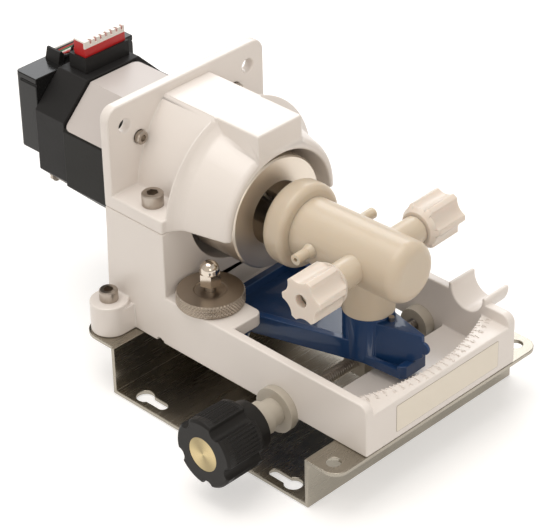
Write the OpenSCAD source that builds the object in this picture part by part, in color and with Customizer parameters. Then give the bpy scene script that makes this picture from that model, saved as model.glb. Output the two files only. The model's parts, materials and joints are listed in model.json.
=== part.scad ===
// Stepper metering pump: a rotating, reciprocating ceramic piston pump on a swing carrier.
// Millimetres, +Z up, pump head towards -Y, motor towards +Y, adjusting knob towards -X.
// The origin is the middle of the mounting channel's underside.

/* [Mounting channel] */
// Width of the sheet steel channel
channel_w = 105.4; // [100:0.2:116]
// Depth of the channel, from front wall to rear wall
channel_d = 97.2; // [92:0.2:104]
// Height of the channel walls
channel_h = 19.7; // [17:0.1:24]
// Thickness of the steel sheet
sheet_t = 1.5; // [1:0.1:2]
// Depth of the front tab that the casting rests on
tab_d = 13.2; // [12:0.1:16]
// Distance from the channel's side to a front fixing hole
tab_hole_inset = 5.7; // [5.2:0.1:8]
// Diameter of the front fixing holes
tab_hole_d = 5.2; // [4:0.1:6]
// Distance from the channel's side to a keyhole
keyhole_inset = 4.9; // [4.3:0.1:7]
// Distance between the round ends of the front and rear keyholes
keyhole_pitch = 74; // [68:0.5:80]
// Length of a keyhole, from its round end to its narrow end
keyhole_l = 9; // [8:0.5:12]
// Diameter of a keyhole's round end
keyhole_d = 6.6; // [5.5:0.1:7]
// Width of a keyhole's slot
keyslot_w = 3.8; // [3:0.1:4.5]

/* [Base casting] */
// Width of the casting
frame_w = 76.2; // [74:0.2:80]
// Height of the side walls
wall_h = 20.3; // [19:0.1:23]
// Thickness of the side walls
wall_t = 3.5; // [2.5:0.1:4]
// Height of the front scale shelf above the casting's underside
shelf_h = 15.95; // [14.5:0.05:16.5]
// Depth of the scale shelf at its middle
shelf_d = 4.8; // [4:0.1:6]
// Depth of the post that carries the motor, without the motor flange
post_d = 25.4; // [25:0.1:27]
// Thickness of the motor flange
flange_t = 4.2; // [3.6:0.1:5]
// Height of the drive axis above the casting's underside
axis_rise = 46.3; // [46:0.1:49]
// Radius of the bore round the driver
bore_r = 24.4; // [23.4:0.1:25]
// Thickness of the walls of the hollow post
post_wall = 4; // [3:0.1:5]
// Thickness of the pad under the pivot
pad_t = 6.5; // [5:0.1:7]
// Radius of the pad under the pivot
pad_r = 11; // [9:0.5:13]
// Thickness of the lock lug
lug_t = 5.1; // [4:0.1:6]
// Width of the lock lug, from the outside of the wall
lug_w = 17.5; // [15:0.5:19]
// Length of the lock lug in front of the post
lug_l = 31; // [28:0.5:33]
// Distance from the channel's rear wall to the ear screws
ear_back = 9.6; // [8.5:0.1:11]
// Distance from the casting's side to an ear screw
ear_out = 5.8; // [5:0.1:6.5]
// Radius of an ear boss
ear_r = 7.1; // [6:0.1:7.5]
// Height of an ear boss
ear_h = 12.3; // [8:0.1:14]
// Inside radius of the tube cradle in the right wall
cradle_r = 7; // [6:0.1:7.5]
// Distance the cradle reaches out of the wall
cradle_out = 9.4; // [7:0.2:11]
// Distance from the casting's front to the middle of the cradle
cradle_y = 19.5; // [18:0.5:24]

/* [Shroud] */
// Half width of the raised pad on the shroud
pad_half_w = 10.8; // [9:0.1:12]
// Height of the raised pad above the drive axis
pad_top = 35.7; // [34:0.1:37]
// Height of the motor flange above the drive axis
flange_up = 39.3; // [37:0.1:42]
// Radius of the flange's upper corners
flange_corner_r = 5; // [3:0.5:8]
// Outer radius of the shroud's front edge
barrel_r = 27.2; // [26.8:0.1:28]
// Outer radius of the shroud's barrel where it meets the shoulder
barrel_back_r = 31; // [29:0.1:32]
// Outer radius of the shroud's shoulder ring
shoulder_r = 36.4; // [35:0.1:36.8]
// Half width of the shroud behind its shoulder
waist_half_w = 25.8; // [25.2:0.1:27]
// Depth of the shroud in front of the post
hood_l = 20.8; // [19:0.1:22]
// Thickness of the shroud's feet
foot_t = 5.4; // [4.5:0.1:6.5]
// Half distance between the flange's corner holes
flange_hole_x = 30.1; // [29.5:0.1:32]
// Height of the flange's corner holes above the drive axis
flange_hole_z = 30.4; // [28:0.1:32]
// Diameter of the flange's corner holes
flange_hole_d = 5.2; // [4:0.1:6]
// Half distance between the shroud screws
shroud_screw_x = 31.6; // [31:0.1:32.5]
// Distance from the post's front to the shroud screws
shroud_screw_y = 11.2; // [9:0.1:13]

/* [Swing carrier] */
// Distance from the pivot to the post's front
pivot_gap = 10.9; // [10.4:0.1:12]
// Swing angle of the pump head as it stands
swing_rest = 2; // [-10:0.5:10]
// Largest swing angle to either side
swing_max = 20; // [15:1:20]
// Radius of the boss that the carrier turns on
hub_r = 6; // [5:0.1:7]
// Radius of the shank of the pivot screw
pivot_r = 2.5; // [2:0.1:3]
// Thickness of the carrier's floor
floor_t = 4.4; // [4:0.1:5]
// Thickness of the carrier's rim
rim_t = 3; // [2.5:0.1:3.5]
// Half width of the carrier beside its pivot
carrier_half_w = 19; // [17:0.5:20]
// Half width of the carrier's nose
nose_half_w = 6.8; // [6:0.1:7.5]
// Distance from the pivot to the lock stud
lock_arm = 28.4; // [28:0.1:28.6]
// Radius of the lock stud
stud_r = 1.85; // [1.7:0.05:2.2]
// Distance from the pivot to the lead screw
screw_arm = 45.1; // [43:0.1:46]
// Height of the lead screw above the casting's underside
screw_rise = 1.1; // [0.6:0.1:2]
// Radius of the lead screw
screw_r = 2.415; // [2.2:0.025:2.8]
// Outer radius of the stem socket
socket_r = 9.2; // [8.8:0.1:9.6]
// Radius of the bore in the stem socket
socket_bore_r = 6.4; // [6:0.1:6.8]
// Distance from the stem's shoulder down from the head axis
stem_drop = 21.2; // [20.6:0.1:22.4]

/* [Driver and piston] */
// Outer radius of the driver
driver_r = 21.25; // [20.5:0.05:21.5]
// Radius of the driver's cavity
cavity_r = 12; // [11.6:0.1:12.6]
// Distance from the pivot to the driver's face
driver_front = 7.3; // [7:0.1:7.4]
// Distance from the pivot to the driver's back
driver_back = 15; // [14:0.1:17]
// Radius of the driver's clamping hub
driver_hub_r = 9.5; // [8.5:0.1:11]
// Length of the driver's clamping hub
driver_hub_l = 12; // [10:0.1:13]
// Radius of the ball that takes the drive pin
ball_r = 3.9; // [3.5:0.1:4.1]
// Radius of the ceramic piston
piston_r = 4.76; // [4.5:0.02:5]
// Radius of the drive pin
drive_pin_r = 1.6; // [1.3:0.1:1.8]

/* [Pump head] */
// Radius of the head's barrel
head_r = 11.4; // [11:0.1:12]
// Distance from the pivot to the end of the head
head_end = 70.1; // [68:0.1:74]
// Distance from the pivot to the ports
port_s = 51.4; // [50:0.1:52]
// Distance from the pivot to the stem
stem_s = 49.5; // [49:0.1:50.5]
// Radius of the collar
collar_r = 15.8; // [14.8:0.1:15.9]
// Distance from the pivot to the collar's back
collar_back = 12.6; // [12.4:0.1:14]
// Length of the collar
collar_l = 10.3; // [9.5:0.1:12]
// Outer radius of the ceramic liner
liner_r = 6.8; // [6.4:0.1:7.2]
// Distance from the head axis to the outer face of the left port nut
port_reach = 36.7; // [36:0.1:38]
// How much further out the right port nut stands
nut_slack = 2.8; // [0:0.1:3]
// Length of a port nut
nut_l = 16.5; // [14:0.5:18]
// Radius of a port nut
nut_r = 8.6; // [8.2:0.1:9.2]
// Radius of a port's neck
neck_r = 5.2; // [4.8:0.1:5.6]
// Distance from the pivot to the wash tubes
wash_s = 33; // [31.5:0.1:34]
// Distance from the head axis to the tip of the left wash tube
wash_reach = 19; // [18:0.1:21]
// How much further out the right wash tube reaches
wash_slack = 2.4; // [0:0.1:3]

/* [Adjusting knob] */
// Radius over the knob's lobes
knob_r = 12.8; // [12.2:0.1:14]
// Length of the knob's lobes
knob_l = 16.5; // [14:0.5:18]
// Length of the knob's skirt
skirt_l = 6.5; // [6:0.5:10]
// Radius of the knob's skirt
skirt_r = 9.4; // [9:0.1:10.4]
// Distance from the casting's side to the back of the knob
knob_gap = 13.9; // [13:0.1:16]
// Radius of the brass cap disc
cap_r = 6.4; // [5:0.1:7]
// Radius of the knurled lock disc
disc_r = 12.4; // [11.5:0.1:12.7]
// Thickness of the knurled lock disc
disc_t = 5; // [4:0.1:6]

/* [Motor] */
// Width over the motor's flats
motor_w = 52; // [50:0.1:54]
// Distance from a motor fixing screw to the motor's corner face
motor_corner_gap = 6.8; // [6.4:0.1:8]
// Radius of the motor's pilot
pilot_r = 19.05; // [18.5:0.05:19.6]
// Width of the motor's square front flange
motor_flange_w = 56.4; // [55:0.1:57.4]
// Thickness of the motor's front flange
motor_flange_t = 4.8; // [4:0.1:6]
// Distance between the motor's fixing screws, across the flange
bolt_span = 47.14; // [46:0.02:47.5]
// Length of the motor body
motor_l = 35.2; // [32:0.2:44]
// Length of the motor's end cap
end_cap_l = 15.8; // [15:0.1:18]
// Height of the end cap above the drive axis
cap_up = 27; // [26:0.1:28]
// Width of the end cap's upper corner chamfers
cap_chamfer = 12.5; // [11:0.1:14]
// Length of the motor's rear cover
rear_cover_l = 11.5; // [10:0.5:18]
// Radius of the motor shaft
shaft_r = 3.175; // [3:0.025:3.5]
// Length of the motor shaft in front of the flange
shaft_out = 20.6; // [19:0.2:21]
// Distance between the connector's contacts
contact_pitch = 2.54; // [2:0.01:2.8]
// Distance of the contacts' middle from the motor's middle plane
contact_x = 1.8; // [-2:0.1:2.5]

/* [Hidden] */
$fn = 64;
run_gap = 0.3;
shaft_gap = 0.05;
contacts = 7;
eps = 0.01;

base_z = channel_h;
wall_top = base_z + wall_h;
shelf_z = base_z + shelf_h;
axis_z = base_z + axis_rise;
side_x = frame_w / 2;
inner_x = side_x - wall_t;
ear_x = side_x + ear_out;
ear_y = channel_d / 2 + ear_back;
frame_front = -channel_d / 2 - tab_d;
frame_rear = ear_y + ear_out;
flange_front = frame_rear - flange_t;
post_front = flange_front - post_d;
pivot_y = post_front - pivot_gap;
bolt_x = bolt_span / 2;

pad_z = base_z + pad_t;
carrier_z = pad_z + run_gap;
lug_z = wall_top - lug_t;
rim_z = lug_z - run_gap;
arm_t = 4;
arm_half_w = 5.2;
slot_half_w = stud_r + 0.3;
lock_angle = 4;
slot_from = -swing_max + lock_angle;
slot_to = swing_max + lock_angle;
stud_y = pivot_y - lock_arm * sin(lock_angle);
stud_x = -lock_arm * cos(lock_angle);

scale_r = pivot_y - frame_front - shelf_d;
nose_s = scale_r - 9.5;
fin_s = scale_r - 6.4;
bend_s = stem_s + 4;
fin_z = axis_z - stem_drop - 1.4;
socket_z = axis_z - stem_drop - 0.1;
fin_half_w = 5;
fin_root_s = stem_s + sqrt(socket_r * socket_r - fin_half_w * fin_half_w) - eps;

screw_y = pivot_y - screw_arm;
screw_z = base_z + screw_rise;
screw_from = -side_x - knob_gap - skirt_l - 8;
screw_to = side_x + 4.5;
travel_rest = screw_arm * tan(swing_rest);
nut_w = 5.2;
nut_d = 10;
pin_r = 2;
bushing_r = 5.5;
bushing_flange_r = 8.5;
left_flange_t = 3;
right_flange_t = 4.4;
knob_back = -side_x - knob_gap;
knob_face = knob_back - skirt_l - knob_l;

cavity_back = 9.5;
race_r = 4.8;
ball_at = cavity_r + 4.7;
liner_from = collar_back + 6.5;
liner_to = port_s + 8.5;
seal_from = collar_back + 2.4;
head_from = seal_from;
port_bore_r = 1.6;
stem_r = 9.4;
nose_round = 4.5;

hood_up = 1.2;
hood_drop = 7;

motor_chamfer = motor_w - bolt_span + motor_corner_gap * sqrt(2);
motor_bore_r = motor_w / 2 - 3;
rotor_r = motor_bore_r - 9;
motor_rear = frame_rear + motor_l;
cap_rear = motor_rear + end_cap_l;
cover_rear = cap_rear + rear_cover_l;
cap_screw_x = motor_w / 2 - 9;
plug_l = contact_pitch * contacts + 1.6;
plug_w = 6;
block_z = axis_z + cap_up + 0.02;
block_y = motor_rear + 7.8;
plug_x = contact_x - 0.95;

// Copies its children to the left and right of the middle plane
module both_sides() {
    children();
    mirror([1, 0, 0]) children();
}

// A plate with four rounded upright edges, from exact solids
module rounded_plate(w, d, h, r) {
    translate([-w / 2 + r, -d / 2, 0]) cube([w - 2 * r, d, h]);
    translate([-w / 2, -d / 2 + r, 0]) cube([w, d - 2 * r, h]);
    for (x = [-1, 1], y = [-1, 1])
        translate([x * (w / 2 - r), y * (d / 2 - r), 0]) cylinder(h = h, r = r);
}

// A socket head cap screw with its shank down and its head's underside at z = 0
module cap_screw(shank_r, head_r, head_h, length) {
    translate([0, 0, -length]) cylinder(h = length + eps, r = shank_r);
    difference() {
        union() {
            cylinder(h = head_h - 0.4, r = head_r);
            translate([0, 0, head_h - 0.4 - eps]) cylinder(h = 0.4, r1 = head_r, r2 = head_r - 0.4);
        }
        translate([0, 0, head_h * 0.45]) cylinder(h = head_h, r = head_r * 0.56, $fn = 6);
    }
}

// Turns children made round the Z axis to lie along +Y
module along_y() {
    rotate([-90, 0, 0]) children();
}

// Turns children made round the Z axis to lie along +X
module along_x() {
    rotate([0, 90, 0]) children();
}

// Places children in the carrier's frame: the pivot at the origin and the head towards -Y
module at_pivot(angle = swing_rest) {
    translate([0, pivot_y, 0]) rotate([0, 0, angle]) children();
}

// Places children on the head axis: Z runs from the pivot towards the end of the head, Y is up
module on_head() {
    translate([0, pivot_y, axis_z]) rotate([0, 0, swing_rest]) rotate([90, 0, 0]) children();
}

// Mounting channel

module keyhole() {
    cylinder(h = 3 * sheet_t, r = keyhole_d / 2, center = true);
    translate([0, -keyhole_l, 0]) cylinder(h = 3 * sheet_t, r = keyslot_w / 2, center = true);
    translate([0, -keyhole_l / 2, 0]) cube([keyslot_w, keyhole_l, 3 * sheet_t], center = true);
}

module tab_lug(x, y, r) {
    translate([x, y, channel_h - sheet_t]) cylinder(h = sheet_t, r = r);
}

module base_channel() {
    lug_x = channel_w / 2 - tab_hole_inset;
    key_x = channel_w / 2 - keyhole_inset;
    hole_y = -channel_d / 2 - tab_d / 2;
    lug_r = channel_w / 2 - lug_x;
    rear_tab = ear_back + 3;
    color("silver") difference() {
        union() {
            translate([-channel_w / 2, -channel_d / 2, 0]) cube([channel_w, channel_d, sheet_t]);
            for (y = [-channel_d / 2, channel_d / 2 - sheet_t])
                translate([-channel_w / 2, y, 0]) cube([channel_w, sheet_t, channel_h]);
            translate([-channel_w / 2, hole_y, channel_h - sheet_t])
                cube([channel_w, tab_d / 2 + sheet_t, sheet_t]);
            translate([-lug_x, frame_front, channel_h - sheet_t])
                cube([2 * lug_x, tab_d, sheet_t]);
            both_sides() tab_lug(lug_x, frame_front + lug_r, lug_r);
            translate([-ear_x - ear_r - 0.9, channel_d / 2 - sheet_t, channel_h - sheet_t])
                cube([2 * (ear_x + ear_r + 0.9), ear_back + sheet_t, sheet_t]);
            translate([-ear_x, channel_d / 2 - sheet_t, channel_h - sheet_t])
                cube([2 * ear_x, rear_tab, sheet_t]);
            both_sides() tab_lug(ear_x, ear_y, ear_r + 0.9);
        }
        for (x = [-1, 1]) {
            translate([x * key_x, keyhole_pitch / 2, 0]) keyhole();
            translate([x * key_x, -keyhole_pitch / 2, 0]) mirror([0, 1, 0]) keyhole();
            translate([x * lug_x, hole_y, channel_h - sheet_t])
                cylinder(h = 3 * sheet_t, r = tab_hole_d / 2, center = true);
            translate([x * ear_x, ear_y, channel_h]) cylinder(h = 6, r = 2.2, center = true);
        }
    }
}

// Base casting

module side_wall_shape() {
    corner = 3.5;
    translate([frame_front, base_z]) square([flange_front - frame_front, wall_h - corner]);
    translate([frame_front + corner, base_z]) square([flange_front - frame_front - corner, wall_h]);
    translate([frame_front + corner, wall_top - corner]) circle(r = corner);
}

module side_walls() {
    for (x = [-side_x, inner_x])
        translate([x, 0, 0]) rotate([90, 0, 90]) linear_extrude(wall_t) side_wall_shape();
}

module front_shelf() {
    floor_l = 10;
    strip_h = 3.5;
    difference() {
        translate([-side_x, frame_front, base_z]) cube([frame_w, 30, shelf_h]);
        translate([0, pivot_y, base_z - 1]) cylinder(h = shelf_h + 2, r = scale_r, $fn = 128);
    }
    translate([-side_x, screw_y - floor_l, base_z])
        mirror([0, 1, 0]) cube([frame_w, screw_y - floor_l - frame_front - 1, strip_h]);
}

module tube_cradle() {
    y = frame_front + cradle_y;
    z = wall_top + 1.5;
    translate([inner_x, y, z]) along_x() difference() {
        cylinder(h = wall_t + cradle_out, r = cradle_r + 1.6);
        translate([0, 0, -1]) cylinder(h = wall_t + cradle_out + 2, r = cradle_r);
        translate([-30, -15, -1]) cube([30 - 1, 30, wall_t + cradle_out + 2]);
    }
}

module screw_boss() {
    translate([inner_x, screw_y, screw_z]) along_x() cylinder(h = wall_t, r = bushing_r + 2);
}

module motor_post() {
    translate([-side_x, post_front, base_z]) cube([frame_w, frame_rear - post_front, axis_rise]);
}

module ear() {
    translate([ear_x, ear_y, base_z]) cylinder(h = ear_h, r = ear_r);
    translate([side_x - 1, ear_y - ear_r, base_z]) cube([ear_out + 1, 2 * ear_r, ear_h - 2]);
}

module lock_lug() {
    corner = 3;
    translate([-side_x, post_front - lug_l, lug_z]) cube([lug_w - corner, lug_l + 1, lug_t]);
    translate([-side_x, post_front - lug_l + corner, lug_z]) cube([lug_w, lug_l + 1 - corner, lug_t]);
    translate([-side_x + lug_w - corner, post_front - lug_l + corner, lug_z])
        cylinder(h = lug_t, r = corner);
    translate([-inner_x - 1, post_front - lug_l, base_z + 2]) cube([5, 2.4, lug_z - base_z - 1]);
}

module base_frame() {
    pocket_r = lock_arm + arm_half_w + 0.5;
    color("white") difference() {
        union() {
            side_walls();
            front_shelf();
            both_sides() screw_boss();
            tube_cradle();
            motor_post();
            both_sides() ear();
            lock_lug();
            translate([0, pivot_y, base_z]) cylinder(h = pad_t, r = pad_r);
            translate([-pad_r, pivot_y, base_z]) cube([2 * pad_r, pivot_gap + 5, pad_t]);
        }
        // Bore round the driver, and the opening for the motor's pilot
        translate([0, post_front - 1, axis_z]) along_y() cylinder(h = post_d + 1, r = bore_r);
        translate([0, post_front, axis_z]) along_y() cylinder(h = 40, r = pilot_r + 0.1);
        // The post is cored out from below
        translate([-side_x + post_wall, post_front + 4.4, base_z - 1])
            cube([frame_w - 2 * post_wall, frame_rear - post_front - 4.4 - post_wall,
                axis_rise - bore_r - post_wall + 1]);
        // Relief under the driver, and the pocket that the lock arm sweeps
        translate([-bore_r + 4, post_front - 1, pad_z])
            cube([2 * bore_r - 8, 4.4, axis_rise - bore_r - post_wall - pad_t]);
        translate([0, pivot_y, pad_z])
            linear_extrude(rim_z + run_gap - pad_z) intersection() {
                difference() {
                    circle(r = pocket_r);
                    circle(r = lock_arm - arm_half_w - 0.5);
                }
                translate([-60, -40]) square([60, 80]);
                rotate(-(swing_max + 28)) translate([-60, -60]) square([120, 60]);
            }
        // Trough for a tube across the right wall
        translate([inner_x - 1, frame_front + cradle_y, wall_top + 1.5]) along_x()
            cylinder(h = wall_t + 1, r = cradle_r);
        // Bushing seats, pivot thread, stud hole, ear holes, motor and shroud screw holes
        for (x = [-side_x - 1, inner_x - 1])
            translate([x, screw_y, screw_z]) along_x() cylinder(h = wall_t + 2, r = bushing_r + 0.02);
        translate([0, pivot_y, base_z - 1]) cylinder(h = pad_t + 2, r = hub_r + shaft_gap);
        translate([stud_x, stud_y, lug_z - 1]) cylinder(h = lug_t + 2, r = stud_r + 0.05);
        for (x = [-1, 1]) {
            translate([x * ear_x, ear_y, base_z - 1]) cylinder(h = ear_h + 2, r = 2.2);
            translate([x * bolt_x, frame_rear - 11, axis_z - bolt_x]) along_y()
                cylinder(h = 20, r = 2.02);
            translate([x * shroud_screw_x, post_front + shroud_screw_y, axis_z - 12])
                cylinder(h = 13, r = 2.4);
        }
        // Notch in the left wall's lower edge
        translate([-side_x - 1, post_front + 4, base_z]) along_x() cylinder(h = wall_t + 2, r = 1.8);
    }
}

module frame_screws() {
    color("gray") both_sides() translate([ear_x, ear_y, base_z + ear_h])
        cap_screw(2.1, 3.45, 4.2, ear_h + sheet_t + 5);
}

module frame_nuts() {
    nut_h = 3.2;
    color("gray") both_sides() translate([ear_x, ear_y, channel_h - sheet_t - nut_h]) difference() {
        cylinder(h = nut_h, r = 4.4, $fn = 6);
        translate([0, 0, -1]) cylinder(h = nut_h + 2, r = 2.1);
    }
}

// Swing carrier and its pivot

module pivot_screw() {
    head_z = base_z - 0.2;
    color("gray") translate([0, pivot_y, 0]) difference() {
        union() {
            translate([0, 0, head_z - 1.2]) cylinder(h = 1.2, r = hub_r + 2);
            translate([0, 0, head_z - 1.2 - 2.6]) cylinder(h = 2.6 + eps, r = 4.4);
            translate([0, 0, head_z - eps]) cylinder(h = pad_t + 2.6, r = pivot_r);
        }
        translate([0, 0, head_z - 5]) cylinder(h = 2.6, r = 2.3, $fn = 6);
    }
}

// Plan of the carrier's plate: wide beside the pivot, narrow at the nose
module carrier_plan(inset) {
    back = 4.2 - inset;
    w0 = carrier_half_w - inset;
    w1 = nose_half_w + 0.9 - inset;
    corner = 1.6;
    polygon([[-w0 + 2, back], [w0 - 2, back], [w0, back - 4], [w0, -12], [w1, -bend_s],
        [nose_half_w - inset, -nose_s + corner], [nose_half_w - corner, -nose_s + inset],
        [-nose_half_w + corner, -nose_s + inset], [-nose_half_w + inset, -nose_s + corner],
        [-w1, -bend_s], [-w0, -12], [-w0, back - 4]]);
}

module carrier_plate() {
    low_z = carrier_z + floor_t - 2;
    step_z = carrier_z + floor_t - 0.8;
    lip_z = step_z + 1.6;
    difference() {
        translate([0, 0, carrier_z]) linear_extrude(rim_z - carrier_z) carrier_plan(0);
        // The tray behind the rims
        translate([0, 0, carrier_z + floor_t]) linear_extrude(20) intersection() {
            carrier_plan(rim_t);
            translate([-40, -bend_s + 2]) square([80, 60]);
        }
        // Low rims beside the fin, with a lip left standing at the nose
        translate([-20, -nose_s + 3, step_z]) cube([40, nose_s - bend_s - 3, 20]);
        translate([-20, -nose_s - 1, lip_z]) cube([40, nose_s - bend_s + 1, 20]);
        translate([0, 0, low_z]) linear_extrude(20) intersection() {
            carrier_plan(rim_t - 1);
            translate([-20, -nose_s + 3]) square([40, nose_s - bend_s - 4]);
        }
    }
}

module carrier_fin() {
    foot_s = nose_s - 1.5;
    heel_z = shelf_z - 0.6;
    difference() {
        translate([0, 0, carrier_z + 1]) linear_extrude(fin_z - carrier_z - 1)
            polygon([[-fin_half_w, -fin_root_s], [fin_half_w, -fin_root_s], [0.7, -fin_s], [-0.7, -fin_s]]);
        // The fin's lower corner slopes back to the nose
        translate([-5, 0, 0]) rotate([90, 0, 90]) linear_extrude(10)
            polygon([[-foot_s, carrier_z + floor_t], [-fin_s - 1, heel_z], [-fin_s - 1, carrier_z - 1],
                [-foot_s, carrier_z - 1]]);
    }
}

module carrier_pointer() {
    tip_r = 2.4;
    translate([-0.7, -fin_s - 0.3, shelf_z + run_gap + tip_r]) along_x() cylinder(h = 1.4, r = tip_r);
}

module lock_sector(z, h) {
    margin = 9;
    translate([0, 0, z]) linear_extrude(h) difference() {
        union() {
            arm_outline(arm_half_w, margin);
            translate([-lock_arm + arm_half_w - 2, -12]) square([8, 14]);
        }
        arm_outline(slot_half_w, 0);
    }
}

// An arc band round the pivot with round ends, on the carrier's left
module arm_outline(half_w, margin) {
    from = slot_from - margin;
    to = slot_to + margin;
    rotate(180) intersection() {
        difference() {
            circle(r = lock_arm + half_w, $fn = 128);
            circle(r = lock_arm - half_w, $fn = 128);
        }
        polygon([[0, 0], 60 * [cos(from), sin(from)], 60 * [cos((from + to) / 2), sin((from + to) / 2)],
            60 * [cos(to), sin(to)]]);
    }
    if (margin == 0)
        for (a = [from, to]) rotate(180 + a) translate([lock_arm, 0]) circle(r = half_w + 0.05);
}

module swing_carrier() {
    arm_z = rim_z - arm_t;
    color("royalblue") at_pivot() difference() {
        union() {
            carrier_plate();
            translate([0, 0, base_z - 0.2]) cylinder(h = carrier_z - base_z + 1, r = hub_r);
            translate([0, -stem_s, carrier_z + 1]) cylinder(h = socket_z - carrier_z - 1, r = socket_r);
            carrier_fin();
            carrier_pointer();
            lock_sector(arm_z, arm_t);
        }
        translate([0, 0, base_z - 1]) cylinder(h = pad_t + 4, r = pivot_r + 0.02);
        translate([0, -stem_s, carrier_z + floor_t + 2]) cylinder(h = 30, r = socket_bore_r + 0.02);
        // Blind slot for the traveller's pin
        slot_l = screw_arm / cos(swing_max) - screw_arm;
        translate([-pin_r - 0.4, -screw_arm - slot_l - pin_r - 0.4, carrier_z - 1])
            cube([2 * pin_r + 0.8, slot_l + 2 * pin_r + 1.6, floor_t + 1]);
        // Stem set screw, and the seat of the index pin
        translate([0, -stem_s, fin_z - 6]) along_x() cylinder(h = 20, r = 1.5);
        translate([0, -stem_s - socket_r - 1.2, fin_z - 6]) cylinder(h = 10, r = 1.02);
    }
}

module index_pin() {
    color("dimgray") at_pivot() translate([0, -stem_s - socket_r - 1.2, fin_z - 6])
        cylinder(h = 7.6, r = 1);
}

module stem_set_screw() {
    reach = socket_bore_r + 0.2;
    color("gray") at_pivot() translate([reach, -stem_s, fin_z - 6]) along_x() difference() {
        cylinder(h = 4.6, r = 1.5);
        translate([0, 0, 3.2]) cylinder(h = 3, r = 0.8, $fn = 6);
    }
}

// Lead screw and traveller

module traveller_nut() {
    top = carrier_z - run_gap;
    color("goldenrod") translate([travel_rest, screw_y, 0]) difference() {
        union() {
            translate([-nut_w / 2, -nut_d / 2, screw_z - 5.4]) cube([nut_w, nut_d, top - screw_z + 5.4]);
            slot_pin(top);
        }
        translate([-nut_w, 0, screw_z]) along_x() cylinder(h = 2 * nut_w, r = screw_r + shaft_gap);
    }
}

module slot_pin(top) {
    translate([0, 0, top - 1]) cylinder(h = floor_t, r = pin_r);
}

module lead_screw() {
    color("dimgray") translate([screw_from, screw_y, screw_z]) along_x() union() {
        cylinder(h = screw_to - screw_from - 0.5, r = screw_r);
        translate([0, 0, screw_to - screw_from - 0.5 - eps])
            cylinder(h = 0.5, r1 = screw_r, r2 = screw_r - 0.5);
    }
}

module left_bushing() {
    color("ivory") translate([-side_x, screw_y, screw_z]) along_x() difference() {
        union() {
            translate([0, 0, -left_flange_t]) cylinder(h = left_flange_t, r = bushing_flange_r);
            translate([0, 0, -left_flange_t - 4.9]) cylinder(h = 5, r = 5);
            translate([0, 0, -eps]) cylinder(h = wall_t + 2, r = bushing_r);
        }
        translate([0, 0, -20]) cylinder(h = 40, r = screw_r + shaft_gap);
    }
}

module right_bushing() {
    color("ivory") translate([inner_x, screw_y, screw_z]) along_x() difference() {
        union() {
            translate([0, 0, -right_flange_t]) cylinder(h = right_flange_t, r = bushing_r + 0.7);
            translate([0, 0, -eps]) cylinder(h = wall_t + 1, r = bushing_r);
        }
        translate([0, 0, -20]) cylinder(h = 40, r = screw_r + shaft_gap);
    }
}

module thrust_collar() {
    from = -side_x - left_flange_t - 4.9 - run_gap;
    color("silver") translate([knob_back + run_gap, screw_y, screw_z]) along_x() difference() {
        cylinder(h = from - knob_back - run_gap, r = 6.2);
        translate([0, 0, -1]) cylinder(h = 20, r = screw_r + 0.02);
    }
}

module screw_clip() {
    color("dimgray") translate([side_x + 1 + run_gap, screw_y, screw_z]) along_x() difference() {
        cylinder(h = 1, r = 5.6);
        translate([0, 0, -1]) cylinder(h = 3, r = screw_r + 0.02);
        translate([0, -1.5, -1]) cube([10, 3, 3]);
    }
}

module adjust_knob() {
    lobes = 5;
    ribs = 3;
    scallop_r = 2.7;
    phase = 65;
    color("black") translate([knob_back, screw_y, screw_z]) along_x() mirror([0, 0, 1]) difference() {
        union() {
            cylinder(h = skirt_l, r1 = skirt_r, r2 = skirt_r + 0.4);
            translate([0, 0, skirt_l - eps]) cylinder(h = knob_l - 0.8, r = knob_r);
            translate([0, 0, skirt_l + knob_l - 0.8 - eps])
                cylinder(h = 0.8 + eps, r1 = knob_r, r2 = knob_r - 0.8);
        }
        for (i = [0:lobes - 1]) rotate(i * 360 / lobes + phase) {
            translate([knob_r + 0.3, 0, skirt_l - 1]) cylinder(h = knob_l + 2, r = scallop_r);
            for (j = [-ribs:ribs]) rotate(180 / lobes + j * 6.6)
                translate([knob_r + 0.2, 0, skirt_l + 1.5]) cylinder(h = knob_l - 5, r = 0.6, $fn = 16);
        }
        translate([0, 0, skirt_l + knob_l - 0.8]) cylinder(h = 2, r = cap_r + 0.02);
        translate([0, 0, -1]) cylinder(h = skirt_l + 9, r = screw_r + 0.02);
        translate([0, 0, skirt_l / 2]) rotate([0, 90, 0]) cylinder(h = 20, r = 1.52);
    }
}

module knob_cap() {
    color("gold") translate([knob_face + 0.8, screw_y, screw_z]) along_x() mirror([0, 0, 1])
        cylinder(h = 0.7, r = cap_r);
}

module knob_set_screw() {
    color("dimgray") translate([knob_back - skirt_l / 2, screw_y, screw_z]) rotate([180, 0, 0])
        translate([0, 0, screw_r]) difference() {
            cylinder(h = 5, r = 1.5);
            translate([0, 0, 3.5]) cylinder(h = 3, r = 0.8, $fn = 6);
        }
}

// Lock

module lock_stud() {
    arm_under = rim_z - arm_t - run_gap;
    color("silver") translate([stud_x, stud_y, 0]) union() {
        translate([0, 0, arm_under - 2.4]) cylinder(h = 2.4 + eps, r = 3.6);
        translate([0, 0, arm_under]) cylinder(h = wall_top + disc_t + 8.7 - arm_under, r = stud_r);
    }
}

module lock_disc() {
    color("darkkhaki") translate([stud_x, stud_y, wall_top + 0.05]) difference() {
        union() {
            cylinder(h = 0.6, r1 = disc_r - 0.6, r2 = disc_r);
            translate([0, 0, 0.6 - eps]) cylinder(h = disc_t - 1.2 + 2 * eps, r = disc_r);
            translate([0, 0, disc_t - 0.6]) cylinder(h = 0.6, r1 = disc_r, r2 = disc_r - 0.6);
        }
        translate([0, 0, -1]) cylinder(h = disc_t + 2, r = stud_r + shaft_gap);
    }
}

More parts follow.
